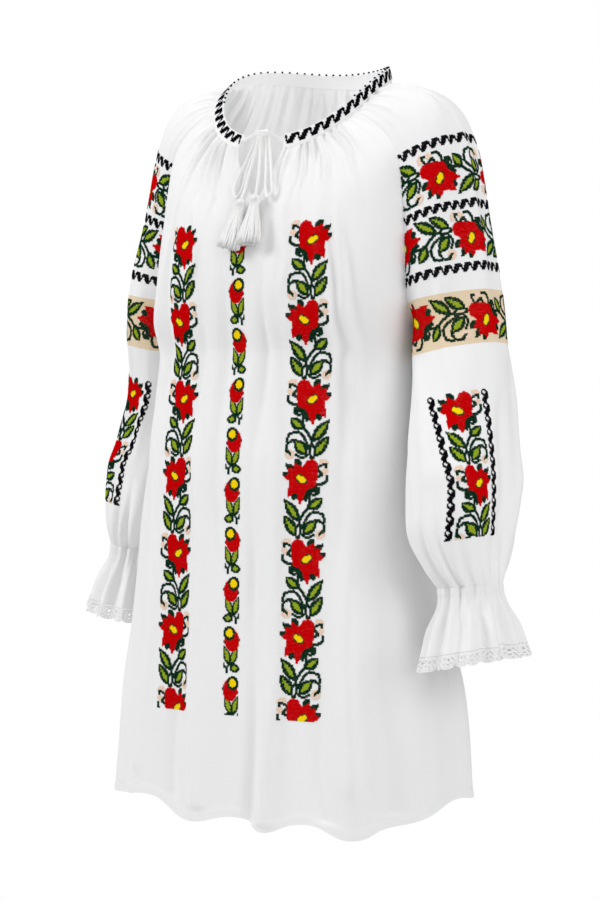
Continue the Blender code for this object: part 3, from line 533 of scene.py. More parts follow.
def arm_creases(t, q):
    """Fine creases of a sleeve."""
    total = np.zeros(np.broadcast(t, q).shape)
    for q_start, t_start, q_end, t_end, half_width, height in SLEEVE_CREASES:
        run_q, run_t = (q_end - q_start), (t_end - t_start) * ROW_LENGTH
        length = math.hypot(run_q, run_t)
        off_q, off_t = q - q_start, (t - t_start) * ROW_LENGTH
        along = (off_q * run_q + off_t * run_t) / length ** 2
        away = (off_q * run_t - off_t * run_q) / length + 0.012 * np.sin(8 * along + 9 * q_start)
        fade = smooth(along / 0.3) * smooth((1 - along) / 0.3)
        total = total + height * fade * bell(away, half_width)
    return total


def arm_folds(t, q, side):
    """Soft slanting folds down the sleeve, none at its seams or at the wrist."""
    away = np.maximum(np.cos(math.pi * q / 2), 0) ** 0.5 * (1 - smooth((t - 1.80) / 0.20))
    long_folds = LONG_FOLD * np.sin(3.1 * math.pi * q + 2.2 * t + 0.6 * side)
    cross_folds = CROSS_FOLD * np.sin(5.0 * math.pi * q - 4.0 * t)
    return away * (long_folds * smooth((t - 0.5) / 0.6) + cross_folds * smooth((t - 1.1) / 0.5)
                   + CREASE_SHARE * arm_creases(t, q))


def gathers(t, places, count, seed):
    """Sewn gathers at a neck edge: sharp ridges of uneven strength and length."""
    turn = np.interp(places, spread(4 * count), np.arange(4 * count + 1) / 4)
    number = np.floor(turn + 0.5)
    strength = 0.80 + 0.25 * np.sin(1.9 * number + seed)
    reach = 0.40 + 0.20 * np.sin(2.7 * number + 2 * seed)
    swell = smooth(t / 0.10 + 0.25) * (1 - smooth((t - 0.08) / reach))
    wave = np.cos(2 * math.pi * turn) + 0.28 * np.cos(4 * math.pi * turn)
    small = 0.22 * np.cos(6 * math.pi * turn + seed) * (1 - smooth(t / 0.22))
    edge = np.sin(math.pi * np.clip(places, 0, 1)) ** 0.5
    return GATHER_DEPTH * swell * strength * (wave + small) * edge


def pleats(t, places, seed):
    """Narrow troughs that run down from the band, each to its own length."""
    total = np.zeros(np.broadcast(t, places).shape)
    for number, (place, length, depth) in enumerate(PLEATS):
        sway = 0.03 * t * np.sin(2.3 * number + seed) + 0.010 * np.sin(4.1 * number + seed)
        fade = smooth(t / 0.02 + 0.3) * (1 - smooth((t - 0.04) / length))
        trough = bell(places - place - sway, 0.015 + 0.030 * t)
        total = total - PLEAT_SHARE * depth / 1000 * fade * trough
    return total


def wrist_gathers(t, q):
    """Upright gathers that grow towards the elastic wrist, coarse ones first, then fine."""
    rough = 0.75 + 0.40 * np.sin(11 * q + 1)
    start = 1.62 + 0.08 * np.sin(7 * q + 2)
    turn = math.pi * WRIST_GATHERS * q
    wave = np.cos(turn + 0.6 * np.sin(5 * q))
    coarse = WRIST_COARSE * smooth((t - start) / 0.32) * rough * (wave - 0.35 * wave ** 2)
    fine = WRIST_FINE * smooth((t - 1.84) / 0.14) * np.cos(2.5 * turn + 2 * rough)
    return coarse + fine


# %% The worn surfaces, folds and all
SEAM_DIP, SEAM_HALF_WIDTH = 0.0004, 0.012    # a sewn seam lies a little lower than the cloth
HEM_STEP = 0.0007         # the turned hem is three layers of cloth
HEM_SHARE = 0.024         # its depth as a share of the skirt, 12 mm
RUFFLE_DEPTH, RUFFLE_UNEVEN, RUFFLE_OPENS = 0.0060, 0.25, 0.45
RIPPLES, RIPPLE_DEPTH = 40, 0.0005


def slit_edge(t):
    return SLIT_ANGLE / RAGLAN_FRONT * np.maximum(0.0, 1 - t / SLIT_END) ** 0.85


def body_cloth(row, place, face, half=0):
    """Body panel: row 0 neck, 1 underarm, 2 hem; place -1..1 across, half -1/1 beside a slit."""
    row, place = paired(row, place)
    upper = np.minimum(row, 1.0)
    if half:
        inner = SLIT_LEAN * smooth(upper / SLIT_END) + half * slit_edge(upper)
        s = mix(inner, half, place) if half > 0 else mix(-1.0, inner, place)
        count, seed = FRONT_GATHERS, 0.2 if half > 0 else 1.3
        share = pleat_share = place
    else:
        s = place
        count, seed = BACK_GATHERS, 2.1
        share = (1 - place) / 2
        pleat_share = 2 * share % 1
    angle = s * 90 if face < 0 else 180 - s * 90
    above = row <= 1
    low = lower_surface(np.maximum(row - 1, 0), angle)
    points = np.where(above[..., None], upper_surface(upper, s, face), low)
    level = -face * normal_of(lambda a, b: upper_surface(a, b, face), upper, s)
    normals = unit(mix(level, outwards(angle), smooth((row - 0.75) / 0.35)[..., None]))
    inside = 1 - np.abs(s)
    fade = np.where(above, np.maximum(inside, 0) ** 0.7, 1.0)
    fade = mix(fade, 1.0, smooth((row - 0.85) / 0.2))
    table = FRONT_CREASES if face < 0 else BACK_CREASES
    near_seam = smooth(inside / 0.06) * above
    crease_fade = mix(near_seam, smooth(inside / 0.03), smooth((row - 0.9) / 0.1))
    height = (drape(angle, points[..., 2]) * fade
              + CREASE_SHARE * body_creases(points, table) * crease_fade * smooth(row / 0.3)
              + (gathers(upper, share, count, seed) + pleats(upper, pleat_share, seed)) * above
              - SEAM_DIP * bell(inside, SEAM_HALF_WIDTH) * (row > 1)
              + HEM_STEP * smooth((row - (2 - HEM_SHARE)) / 0.008))
    return points + normals * height[..., None]


def sleeve_cloth(t, q, side):
    t, q = paired(t, q)
    share = (q + 1) / 2
    normals = side * normal_of(lambda a, b: sleeve_surface(a, b, side), t, q)
    sewn = gathers(t, share, SLEEVE_GATHERS, 0.4) + pleats(t, share, 3.0)
    height = arm_folds(t, q, side) + sewn * (t < 1)
    return (sleeve_surface(t, q, side) + normals * height[..., None]
            + round_arm(q, side) * wrist_gathers(t, q)[..., None])


def cuff_cloth(f, q, side, lift=0.0):
    f, q = paired(f, q)
    opened = smooth((f - CASING_END) / RUFFLE_OPENS)
    tight = (1 - opened) * wrist_gathers(2.0, q)
    uneven = 1 + RUFFLE_UNEVEN * np.sin(2 * math.pi * q + 1.0)
    wave = np.cos(math.pi * RUFFLE_WAVES * q + 0.5 * np.sin(math.pi * q))
    ripple = (1 - f) * np.cos(math.pi * RIPPLES * q + 3 * np.sin(5 * q))
    height = tight + opened * (RUFFLE_DEPTH * uneven * wave + RIPPLE_DEPTH * ripple) + lift
    return cuff_point(f, q, side) + round_arm(q, side) * height[..., None]


# %% [markdown]
# The cloth's finish. Gauze is a loose plain weave: threads cross about every half millimetre, some
# thicker than others. An image texture would be quicker, but a weave worked out from the cloth's own
# measure stays sharp at any size. The UV map of each panel is in metres along its threads.

# %% The gauze material
SLUB_STRETCHES = ((1500, 40, 1), (40, 1500, 1))    # thick places along each set of threads


def woven(name, colour, thread=0.00055, depth=0.00010, slub=0.25):
    """Plain-woven cotton, its threads along the UV map, which is in metres."""
    material = painted(name, colour, 0.82, {"Sheen Weight": 0.25, "Sheen Roughness": 0.5,
                                            "Specular IOR Level": 0.2})
    tree = material.node_tree
    shader = tree.nodes["Principled BSDF"]
    place = result(tree, "ShaderNodeUVMap", uv_map="cloth")
    axes = node(tree, "ShaderNodeSeparateXYZ", {0: place}).outputs
    turns = [maths(tree, "MULTIPLY", axes[axis], 2 * math.pi / thread) for axis in ("X", "Y")]
    weave = maths(tree, "MULTIPLY", *(maths(tree, "SINE", turn) for turn in turns))
    uneven = []
    for stretch in SLUB_STRETCHES:
        mapped = result(tree, "ShaderNodeMapping", {"Vector": place, "Scale": stretch})
        noise = node(tree, "ShaderNodeTexNoise", {"Vector": mapped, "Scale": 1.0, "Detail": 2.0})
        uneven.append(noise.outputs["Fac"])
    slubs = maths(tree, "ADD", *uneven)
    height = maths(tree, "MULTIPLY_ADD", slubs, 2.2, weave)
    bump = result(tree, "ShaderNodeBump", {"Height": height, "Strength": 0.5, "Distance": depth})
    tint = result(tree, "ShaderNodeMapRange", {"Value": slubs, "From Min": 0.6, "From Max": 1.4})
    darker = (*[c * (1 - 0.12 * slub) for c in colour], 1)
    lighter = (*[min(1, c * (1 + 0.04 * slub)) for c in colour], 1)
    dyed = node(tree, "ShaderNodeMix", {"Factor": tint, "A": darker, "B": lighter}, data_type="RGBA")
    feed(tree, shader.inputs["Normal"], bump)
    feed(tree, shader.inputs["Base Color"], dyed.outputs["Result"])
    return material


GAUZE = woven("white_gauze", (0.88, 0.88, 0.885))
BAND_COTTON = woven("white_band_cotton", (0.87, 0.87, 0.872), thread=0.0005, slub=0.1)
print("made the gauze, threads every 0.55 mm")


# %% [markdown]
# Each panel is a thin shell over its solid: a grid of points on the worn surface, with the edges
# where the seams are. Solidify gives it the thickness of real gauze, about half a millimetre, on
# the inside, so the outer face stays exactly where the stitches will sit.

# %% Making a cloth shell
SIDES = ((1, "left"), (-1, "right"))
WELD = 2e-5


def smooth_piece(name, points, faces, uvs, material):
    """A smooth object; uvs has a row for each point, in metres."""
    mesh = bpy.data.meshes.new(name)
    mesh.from_pydata(points.tolist(), [], faces)
    corners = np.empty(len(mesh.loops), np.int32)
    mesh.loops.foreach_get("vertex_index", corners)
    mesh.uv_layers.new(name="cloth").data.foreach_set("uv", uvs[corners].ravel())
    mesh.materials.append(material)
    mesh.shade_smooth()
    return added(name, mesh)


def reshape(mesh, change):
    """Change a mesh and leave its cut edges sharp, so the thickness doesn't shade the face."""
    shape = bmesh.new()
    shape.from_mesh(mesh)
    shape.faces.ensure_lookup_table()
    change(shape)
    for edge in shape.edges:
        if edge.is_boundary:
            edge.smooth = False
    shape.to_mesh(mesh)
    shape.free()


def panel(name, grids, material, thickness=0.0005, flip=False):
    """A thin cloth piece from grids of points, welded where they meet, UVs in metres."""
    points, faces, uvs, count = [], [], [], 0
    for grid in grids:
        rows, columns = grid.shape[:2]
        across = np.linalg.norm(np.diff(grid, axis=1), axis=-1)
        u = np.concatenate([[0], np.cumsum(across.mean(axis=0))])
        down = np.linalg.norm(np.diff(grid, axis=0), axis=-1)
        v = np.concatenate([[0], np.cumsum(down.mean(axis=1))])
        number = count + np.arange(rows * columns).reshape(rows, columns)
        quad = np.stack([number[:-1, :-1], number[1:, :-1], number[1:, 1:], number[:-1, 1:]], -1)
        faces += (quad[..., ::-1] if flip else quad).reshape(-1, 4).tolist()
        points.append(grid.reshape(-1, 3))
        uvs.append(np.stack(np.meshgrid(u, -v), -1).reshape(-1, 2))
        count += rows * columns
    piece = smooth_piece(name, np.concatenate(points), faces, np.concatenate(uvs), material)
    reshape(piece.data, lambda shape: bmesh.ops.remove_doubles(shape, verts=shape.verts, dist=WELD))
    wall = piece.modifiers.new("thickness", "SOLIDIFY")
    wall.thickness = thickness
    wall.offset = -1
    return piece


def keep(piece, slot, *nodes):
    """Ride on the garment and stand for its solids; slot is not used."""
    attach(piece, "root")
    if nodes:
        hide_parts(*nodes)
    return piece


# %% Front and back
BODY_LEVELS = rows_of((0, 0.5, 50), (0.5, 1, 30), (1, 1.96, 58), (1.96, 2, 12))
HALF_PLACES, BACK_PLACES = np.linspace(0, 1, 89)[None], np.linspace(1, -1, 121)[None]
halves = [body_cloth(BODY_LEVELS, HALF_PLACES, -1, half) for half in (1, -1)]
front = panel("front_panel_cloth", halves, GAUZE)
back = panel("back_panel_cloth", [body_cloth(BODY_LEVELS, BACK_PLACES, 1)], GAUZE)
keep(front, "cotton_gauze", "front_panel")
keep(back, "cotton_gauze", "back_panel")
print("front", len(front.data.polygons), "faces; back", len(back.data.polygons))

# %% Sleeves
ARM_LEVELS = rows_of((0, 0.5, 40), (0.5, 1.7, 72), (1.7, 2.0, 26))
ARM_ROUND = np.linspace(-1, 1, 145)[None]
for side, word in SIDES:
    grid = sleeve_cloth(ARM_LEVELS, ARM_ROUND, side)
    sleeve = panel(f"sleeve_{word}_cloth", [grid], GAUZE, flip=side < 0)
    keep(sleeve, "cotton_gauze", f"sleeve_{word}")

# %% Wrist casings and ruffles
EDGE_OVER = 0.008         # how far a sewn-on edge laps its neighbour, as a share of the cuff
LAP_TUCK = 0.0003         # how deep the lapping edge is tucked under it
CASING_PUFF = 0.0004
CUFF_ROUND = np.linspace(-1, 1, 217)[None]
CASING_LEVELS = np.linspace(-EDGE_OVER, CASING_END + EDGE_OVER, 9)[:, None]
RUFFLE_LEVELS = np.linspace(CASING_END, RUFFLE_END, 25)[:, None]
down = CASING_LEVELS / CASING_END
lap = np.maximum(0, np.abs(down - 0.5) - 0.5) * CASING_END / EDGE_OVER
puff = CASING_PUFF * np.sin(math.pi * np.clip(down, 0, 1)) - LAP_TUCK * lap
for side, word in SIDES:
    grid = cuff_cloth(CASING_LEVELS, CUFF_ROUND, side, puff)
    casing = panel(f"wrist_casing_{word}_cloth", [grid], BAND_COTTON, 0.0006, flip=side < 0)
    keep(casing, "neck_cotton", f"wrist_casing_{word}")
    ruffle = panel(f"cuff_ruffle_{word}_cloth", [cuff_cloth(RUFFLE_LEVELS, CUFF_ROUND, side)],
                   GAUZE, flip=side < 0)
    keep(ruffle, "cotton_gauze", f"cuff_ruffle_{word}")

# %% Neckband
BAND_ANGLES = np.linspace(SLIT_ANGLE, 360 - SLIT_ANGLE, 420)[None]
BAND_LEVELS = np.linspace(0, 1, 9)[:, None]
BAND_PADDING = 0.0005


def band_cloth(level, angle):
    """The neckband, a little padded by its folded edges."""
    swell = BAND_PADDING * (1 - (2 * level - 1) ** 4) + 0 * angle
    return (neckline(angle + 0 * level, BAND_HEIGHT * level + 0 * angle)
            + outwards(angle) * swell[..., None])


neckband = panel("neckband_cloth", [band_cloth(BAND_LEVELS, BAND_ANGLES)], BAND_COTTON, 0.0016)
keep(neckband, "neck_cotton", "neckband")

# %% [markdown]
# The embroidery is counted work: every coloured cell is one cross stitch of stranded cotton. The
# design is charted on a grid by painting petals, leaves and stems cell by cell, which gives the
# stepped edges of real cross stitch. Drawing them as smooth shapes would look printed. One half
# of the repeat is charted, and the next half is its mirror image.

# %% Threads and charting tools
BARE, DARK, RED, YELLOW, LIME, CREAM, BLACK, WHITE = range(8)
THREADS = (
    (0.0, 0.0, 0.0), (0.004, 0.025, 0.012), (0.54, 0.0006, 0.0020), (0.92, 0.66, 0.004),
    (0.28, 0.38, 0.020), (0.82, 0.63, 0.50), (0.0035, 0.0035, 0.005), (0.80, 0.80, 0.79),
)
STITCH = 0.00145
TEETH = 4.5               # ragged steps along a leaf's heart
HEART_FROM, HEART_LENGTH, HEART_RAGGED = 0.16, 0.68, 0.30    # as shares of the leaf
LEAF_POINT = 0.85


def cells(chart):
    rows, columns = chart.shape
    return np.meshgrid(np.arange(columns) + 0.5, np.arange(rows) + 0.5)


def turned(chart, x, y, angle):
    """Each cell's place from x, y: along a direction and across it."""
    gx, gy = cells(chart)
    a = math.radians(angle)
    return ((gx - x) * math.cos(a) + (gy - y) * math.sin(a),
            (gy - y) * math.cos(a) - (gx - x) * math.sin(a))


def petal(chart, x, y, angle, length, width, thread, point, ragged=0.0):
    """A petal or leaf from its root at x, y; point under 1 widens the root."""
    along, off = turned(chart, x, y, angle)
    along = along / length
    inside = (along > 0) & (along < 1)
    reach = width / 2 * np.sin(math.pi * np.clip(along, 0, 1) ** point)
    teeth = 1 + ragged * np.sin(2 * math.pi * TEETH * along)
    chart[inside & (np.abs(off) <= reach * teeth)] = thread


def blob(chart, x, y, half_long, half_short, angle, thread):
    """An oval, its long axis at an angle."""
    along, off = turned(chart, x, y, angle)
    chart[(along / half_long) ** 2 + (off / half_short) ** 2 <= 1] = thread


def stem(chart, route, thread, radius):
    """A line through a few cells, rounded at the middle ones."""
    gx, gy = cells(chart)
    table = [(k, *p) for k, p in enumerate(route)]
    at = np.linspace(0, len(route) - 1, 30 * len(route))
    for x, y in zip(curve(table, at, 1), curve(table, at, 2)):
        chart[(gx - x) ** 2 + (gy - y) ** 2 <= radius ** 2] = thread


def leaf(chart, root, tip, width, heart):
    """A dark leaf with a ragged lime heart, heart times as wide."""
    (x, y), (tx, ty) = root, tip
    angle = math.degrees(math.atan2(ty - y, tx - x))
    length = math.hypot(tx - x, ty - y)
    petal(chart, x, y, angle, length, width, DARK, LEAF_POINT)
    petal(chart, mix(x, tx, HEART_FROM), mix(y, ty, HEART_FROM), angle, length * HEART_LENGTH,
          width * heart, LIME, LEAF_POINT, HEART_RAGGED)


# %% [markdown]
# The wide band: a large open rose with a yellow eye sits to one side. A forked stem with four
# leaves and two curled buds fills the other side and leads to the next rose.

# %% Chart of the wide band
def outline(chart, x, y, edge, thread):
    """Fill a lobed shape: edge has angles round x, y and how far out it reaches there."""
    gx, gy = cells(chart)
    angles, reaches = zip(*edge, (edge[0][0] + 360, edge[0][1]))
    around = (np.degrees(np.arctan2(gy - y, gx - x)) - angles[0]) % 360 + angles[0]
    chart[np.hypot(gx - x, gy - y) <= np.interp(around, angles, reaches)] = thread


WIDE_ROWS, WIDE_COLUMNS = 60, 36
ROSE_AT = (21.0, 15.2)
ROSE_EDGE = (    # degrees round the eye, reach in stitches: tips and notches of the petals
    (-172, 12.6), (-156, 14.6), (-138, 17.2), (-121, 17.4), (-108, 14.6), (-97, 9.4), (-80, 10.2),
    (-63, 13.8), (-50, 9.8), (-34, 13.8), (-22, 10.8), (-6, 14.0), (8, 10.0), (26, 10.8), (42, 14.6),
    (51, 18.2), (60, 12.6), (73, 11.4), (80, 15.6), (87, 19.4), (96, 15.0), (106, 11.2), (124, 9.0),
    (140, 10.6), (158, 12.4),
)
SEPALS = (    # degrees, length, width
    (-74, 18.6, 6.4), (-42, 17.8, 6), (-14, 17.0, 6), (66, 17.4, 9), (104, 17.6, 9), (146, 17, 8),
)
BIG_LEAVES = (    # root, tip, width
    ((22.4, 47.0), (34.8, 30.2), 9.0), ((24.0, 58.4), (35.2, 42.2), 9.0),
    ((14.5, 37.8), (3.4, 29.0), 8.8), ((19.0, 57.0), (7.0, 45.0), 9.2),
)
STEMS = (    # cells that each stem runs through
    ((13.0, 24), (14.0, 30), (15.0, 36), (19.0, 41.5), (22.0, 47), (20.6, 53), (22.5, 60)),
    ((1.8, 47.0), (4.0, 41.2), (12.0, 40.6), (16.5, 45.2), (20.6, 53)),
    ((7.0, 45.5), (2.4, 49.0), (2.2, 53.4), (3.2, 55.0)),
    ((19.0, 57.0), (15.5, 59.0), (9.4, 57.0)),
    ((22.0, 49.0), (25.2, 53.0), (25.0, 56.5), (23.5, 60.0)),
)
CURLS = (
    ((9.0, 8.0), (6.4, 5.0), (2.2, 4.2), (1.6, 6.2)), ((8.0, 13.0), (4.8, 11.6), (6.8, 9.0)),
    ((10.0, 18.5), (4.8, 18.6), (1.2, 16.0), (1.2, 13.0)), ((11.0, 27.0), (7.6, 25.5), (6.8, 21.5)),
    ((3.6, 54.4), (5.2, 56.6)),
)
BUDS = (    # x, y, half-length, half-width, degrees
    (3.8, 2.4, 3.6, 2.4, -20), (2.8, 9.2, 2.8, 2.4, 40), (4.6, 56.4, 4.0, 3.4, 25),
    (25.5, 1.2, 2.0, 1.3, -20),
)


def charted(rows, columns, *steps):
    """A chart painted step by step: each is a tool and what it is given."""
    chart = np.zeros((rows, columns), int)
    for tool, *given in steps:
        tool(chart, *given)
    return chart


wide = charted(
    WIDE_ROWS, WIDE_COLUMNS,
    *((blob, *bud, CREAM) for bud in BUDS),
    *((stem, route, DARK, 1.0) for route in STEMS + CURLS),
    *((leaf, *row, 0.37) for row in BIG_LEAVES),
    *((petal, *ROSE_AT, *row, DARK, 1.3) for row in SEPALS),
    (outline, *ROSE_AT, ROSE_EDGE, RED),
    (blob, *ROSE_AT, 5.2, 3.5, -30, DARK),
    (blob, *ROSE_AT, 4.2, 2.3, -30, YELLOW),
)


def mirrored(half, repeats, first):
    """Repeats of a half chart down the cloth, each the mirror image of the last."""
    return np.concatenate([half if (k + first) % 2 else half[:, ::-1] for k in range(repeats)])


# %% Chart of the narrow band
# a red bud round a yellow eye, two upright leaves, a round green bud and a curl
narrow = charted(
    38, 16,
    (leaf, (8.4, 30.0), (1.8, 14.0), 6.6, 0.54), (leaf, (9.4, 30.0), (14.6, 14.6), 6.4, 0.54),
    (blob, 4.8, 31.8, 4.4, 3.4, 0, DARK), (blob, 4.8, 31.8, 2.6, 1.4, 0, LIME),
    (blob, 4.8, 31.8, 0.9, 2.3, 0, LIME),
    (stem, ((8.5, 28), (11.8, 31.5), (12.0, 35.5)), DARK, 0.9),
    (stem, ((11.8, 32), (14.0, 31.0), (14.6, 29.2)), DARK, 0.9),
    (petal, 7.0, 9.8, 180, 7.4, 4.0, DARK, 1.0), (petal, 8.0, 13.0, -8, 7.8, 4.0, DARK, 1.0),
    (blob, 7.4, 10.6, 8.6, 6.6, 96, RED), (blob, 9.8, 5.4, 5.4, 5.4, 0, DARK),
    (blob, 9.6, 5.4, 3.2, 3.2, 0, YELLOW),
)
for line_name, chart in (("wide", wide), ("narrow", narrow)):
    print(line_name, chart.shape, "stitches", int((chart > 0).sum()))


# %% Charts of the black lines
def written(rows, thread):
    """A small chart from rows of text: a # is a stitch."""
    return np.array([[thread if cell == "#" else BARE for cell in row] for row in rows])


WAVE = written((    # runs across
    "#...####",
    "##..####",
    "##.#####",
    ".#.####.",
    ".######.",
    "..####..",
    "..###...",
), BLACK)
CHAIN = written((    # runs down
    ".###..",
    "#..##.",
    "#...##",
    "##.###",
    ".#####",
    "..####",
    ".#####",
    "#####.",
    "####..",
    ".###..",
), BLACK)
COLLAR = written((    # runs across
    "#....#####",
    "##...#####",
    "##..#####.",
    ".#..#####.",
    ".#.#####..",
    ".#######..",
    "..#####...",
    "..#####...",
), BLACK)

# %% [markdown]
# Counted stitches need a lattice on the worn cloth: level lines round the garment, and equal steps
# of a stitch along each line. The level lines are found by reading the cloth's own surface, so
# every stitch follows the folds. A shrink-wrapped image would stretch where the cloth turns.

# %% Lattice of stitch corners on the cloth
EDGE_SPARE = 0.001        # no stitch is nearer an edge
STITCH_LIFT = 0.00034


def level_lines(surface, levels, slope, middle):
    """Level lines of a surface (rows, places, 3), and where they are really on it.
    levels are heights on the line of places numbered by middle; slope is rise for each metre
    outwards."""
    tall = -(surface[..., 2] - slope * np.abs(surface[..., 0]))
    reach = np.interp(-levels, -surface[:, middle, 2], tall[:, middle])
    lines, on = [], []
    for k in range(surface.shape[1]):
        rising = np.maximum.accumulate(tall[:, k])
        lines.append(at_runs(surface[:, k], rising, reach))
        on.append((reach >= rising[0]) & (reach <= rising[-1]))
    return np.stack(lines, axis=1), np.stack(on, axis=1)


def level_lattice(surface, levels, slope, middle, offsets):
    """Stitch corners along level lines; offsets, a row for each level, are distances along the
    line from middle. Also which corners are on the cloth."""
    corners, fits = [], []
    for line, on, row_offsets in zip(*level_lines(surface, levels, slope, middle), offsets):
        along = run_along(line)
        want = along[middle] + row_offsets
        corners.append(at_runs(line, along, want))
        fits.append((np.interp(want, along, on.astype(float)) > 0.99)
                    & (want > EDGE_SPARE) & (want < along[-1] - EDGE_SPARE))
    return np.array(corners), np.array(fits)


class Stitches:
    """Where each stitch of one embroidered piece goes, and in which thread."""

    def __init__(self):
        self.places, self.turns, self.sizes, self.threads = [], [], [], []

    def put(self, places, x_axis, z_axis, sizes, threads):
        """Stitches that lie along their x axis, with their z axis off the cloth."""
        y_axis = np.cross(z_axis, x_axis)
        self.places.append(places)
        self.turns.append(np.stack([np.arctan2(y_axis[:, 2], z_axis[:, 2]),
                                    -np.arcsin(np.clip(x_axis[:, 2], -1, 1)),
                                    np.arctan2(x_axis[:, 1], x_axis[:, 0])], -1))
        self.sizes.append(sizes)
        self.threads.append(threads)

    def add(self, corners, fits, chart, outward=1):
        """Stitches of a chart on a lattice one row and one column larger."""
        assert corners.shape[:2] == (chart.shape[0] + 1, chart.shape[1] + 1)
        quarters = [(slice(*rows), slice(*columns)) for rows in ((0, -1), (1, None))
                    for columns in ((0, -1), (1, None))]
        a, b, c, d = (corners[quarter] for quarter in quarters)
        right = (b + d - a - c) / 2
        up = (a + b - c - d) / 2
        face = unit(np.cross(right, up)) * outward
        good = np.all([fits[quarter] for quarter in quarters], axis=0) & (chart > 0)
        width, height = (np.linalg.norm(way, axis=-1)[good] for way in (right, up))
        self.put(((a + b + c + d) / 4 + face * STITCH_LIFT)[good], unit(right)[good], face[good],
                 np.stack([width, height, 0 * width + STITCH], -1), chart[good])


# %% [markdown]
# One cross stitch is two short arms of thread over each other. It is made once, by nodes, as a low
# eight-sided star with a ridge along each arm. The nodes then place it on every lattice point,
# turned to the cloth and a little uneven, as hand work is. Thousands of separate objects would be
# slow, and a bump map would lose the raised feel of the thread.

# %% The cross stitch nodes
def stitch_nodes(name, inputs, shape, grows):
    """Nodes that put one shape on every point, turned and sized as its attributes say, and up to
    Unevenness smaller or, if it grows, also larger."""
    tree = bpy.data.node_groups.new(name, "GeometryNodeTree")
    ends = (("Geometry", "Geometry", None, "INPUT"), *((*row, "INPUT") for row in inputs),
            ("Thread", "Material", None, "INPUT"), ("Geometry", "Geometry", None, "OUTPUT"))
    for label, kind, default, way in ends:
        end = tree.interface.new_socket(name=label, in_out=way, socket_type="NodeSocket" + kind)
        if default is not None:
            end.default_value = default
    given = node(tree, "NodeGroupInput").outputs
    turn, size = (result(tree, "GeometryNodeInputNamedAttribute", {"Name": label},
                         data_type="FLOAT_VECTOR") for label in ("turn", "size"))
    least = maths(tree, "SUBTRACT", 1.0, given["Unevenness"])
    most = maths(tree, "ADD", 1.0, given["Unevenness"]) if grows else 1.0
    vary = node(tree, "FunctionNodeRandomValue", {2: least, 3: most, "Seed": given["Seed"]},
                data_type="FLOAT").outputs[1]
    rotation = result(tree, "FunctionNodeEulerToRotation", {0: turn})
    put = result(tree, "GeometryNodeInstanceOnPoints", {
        "Points": given["Geometry"], "Instance": shape(tree, given), "Rotation": rotation,
        "Scale": scaled(tree, size, vary)})
    real = result(tree, "GeometryNodeRealizeInstances", {0: put})
    sewn = result(tree, "GeometryNodeSetMaterial", {"Geometry": real, "Material": given["Thread"]})
    node(tree, "NodeGroupOutput", {0: sewn})
    return tree


def star(tree, given):
    """A low eight-sided star: a cone whose base is pulled in between the arms."""
    cone = result(tree, "GeometryNodeMeshCone", {
        "Vertices": 8, "Radius Top": 0.0, "Radius Bottom": 0.72, "Depth": given["Height"],
    }, fill_type="NONE")
    place = result(tree, "GeometryNodeInputPosition")
    height = node(tree, "ShaderNodeSeparateXYZ", {0: place}).outputs["Z"]
    base = result(tree, "FunctionNodeCompare", {0: height, 1: 0.01}, data_type="FLOAT",
                  operation="LESS_THAN")
    odd = maths(tree, "MODULO", result(tree, "GeometryNodeInputIndex"), 2.0)
    between = result(tree, "FunctionNodeBooleanMath", {0: base, 1: odd}, operation="AND")
    waist = result(tree, "GeometryNodeSetPosition", {
        "Geometry": cone, "Selection": between, "Position": scaled(tree, place, given["Waist"])})
    return result(tree, "GeometryNodeTransform", {"Geometry": waist, "Rotation": (0, 0, math.pi / 4)})


def grain(tree, given):
    """A small padded stitch: running, overcast or gathering thread."""
    return result(tree, "GeometryNodeMeshUVSphere",
                  {"Segments": given["Sides"], "Rings": 3, "Radius": 0.5})


CROSS_STITCHES = stitch_nodes("cross_stitches", (
    ("Height", "Float", 0.22), ("Waist", "Float", 0.86), ("Unevenness", "Float", 0.05),
    ("Seed", "Int", 7)), star, True)
ROUND_STITCHES = stitch_nodes("round_stitches", (
    ("Sides", "Int", 5), ("Unevenness", "Float", 0.15), ("Seed", "Int", 3)), grain, False)


# %% The thread material
def thread_material():
    """Stranded cotton: its colour is the stitch's own."""
    material = painted("stranded_cotton", (0.5, 0.1, 0.1), 0.85, {"Specular IOR Level": 0.0})
    tree = material.node_tree
    shader = tree.nodes["Principled BSDF"]
    colour = node(tree, "ShaderNodeAttribute", attribute_name="thread", attribute_type="GEOMETRY")
    place = node(tree, "ShaderNodeTexCoord").outputs["Object"]
    fuzz = node(tree, "ShaderNodeTexNoise", {"Vector": place, "Scale": 900.0}).outputs["Fac"]
    shade = result(tree, "ShaderNodeMapRange", {"Value": fuzz, "To Min": 0.86, "To Max": 1.14})
    bump = result(tree, "ShaderNodeBump", {"Height": fuzz, "Strength": 0.4, "Distance": 0.0002})
    feed(tree, shader.inputs["Base Color"], scaled(tree, colour.outputs["Color"], shade))
    feed(tree, shader.inputs["Normal"], bump)
    return material


THREAD = thread_material()


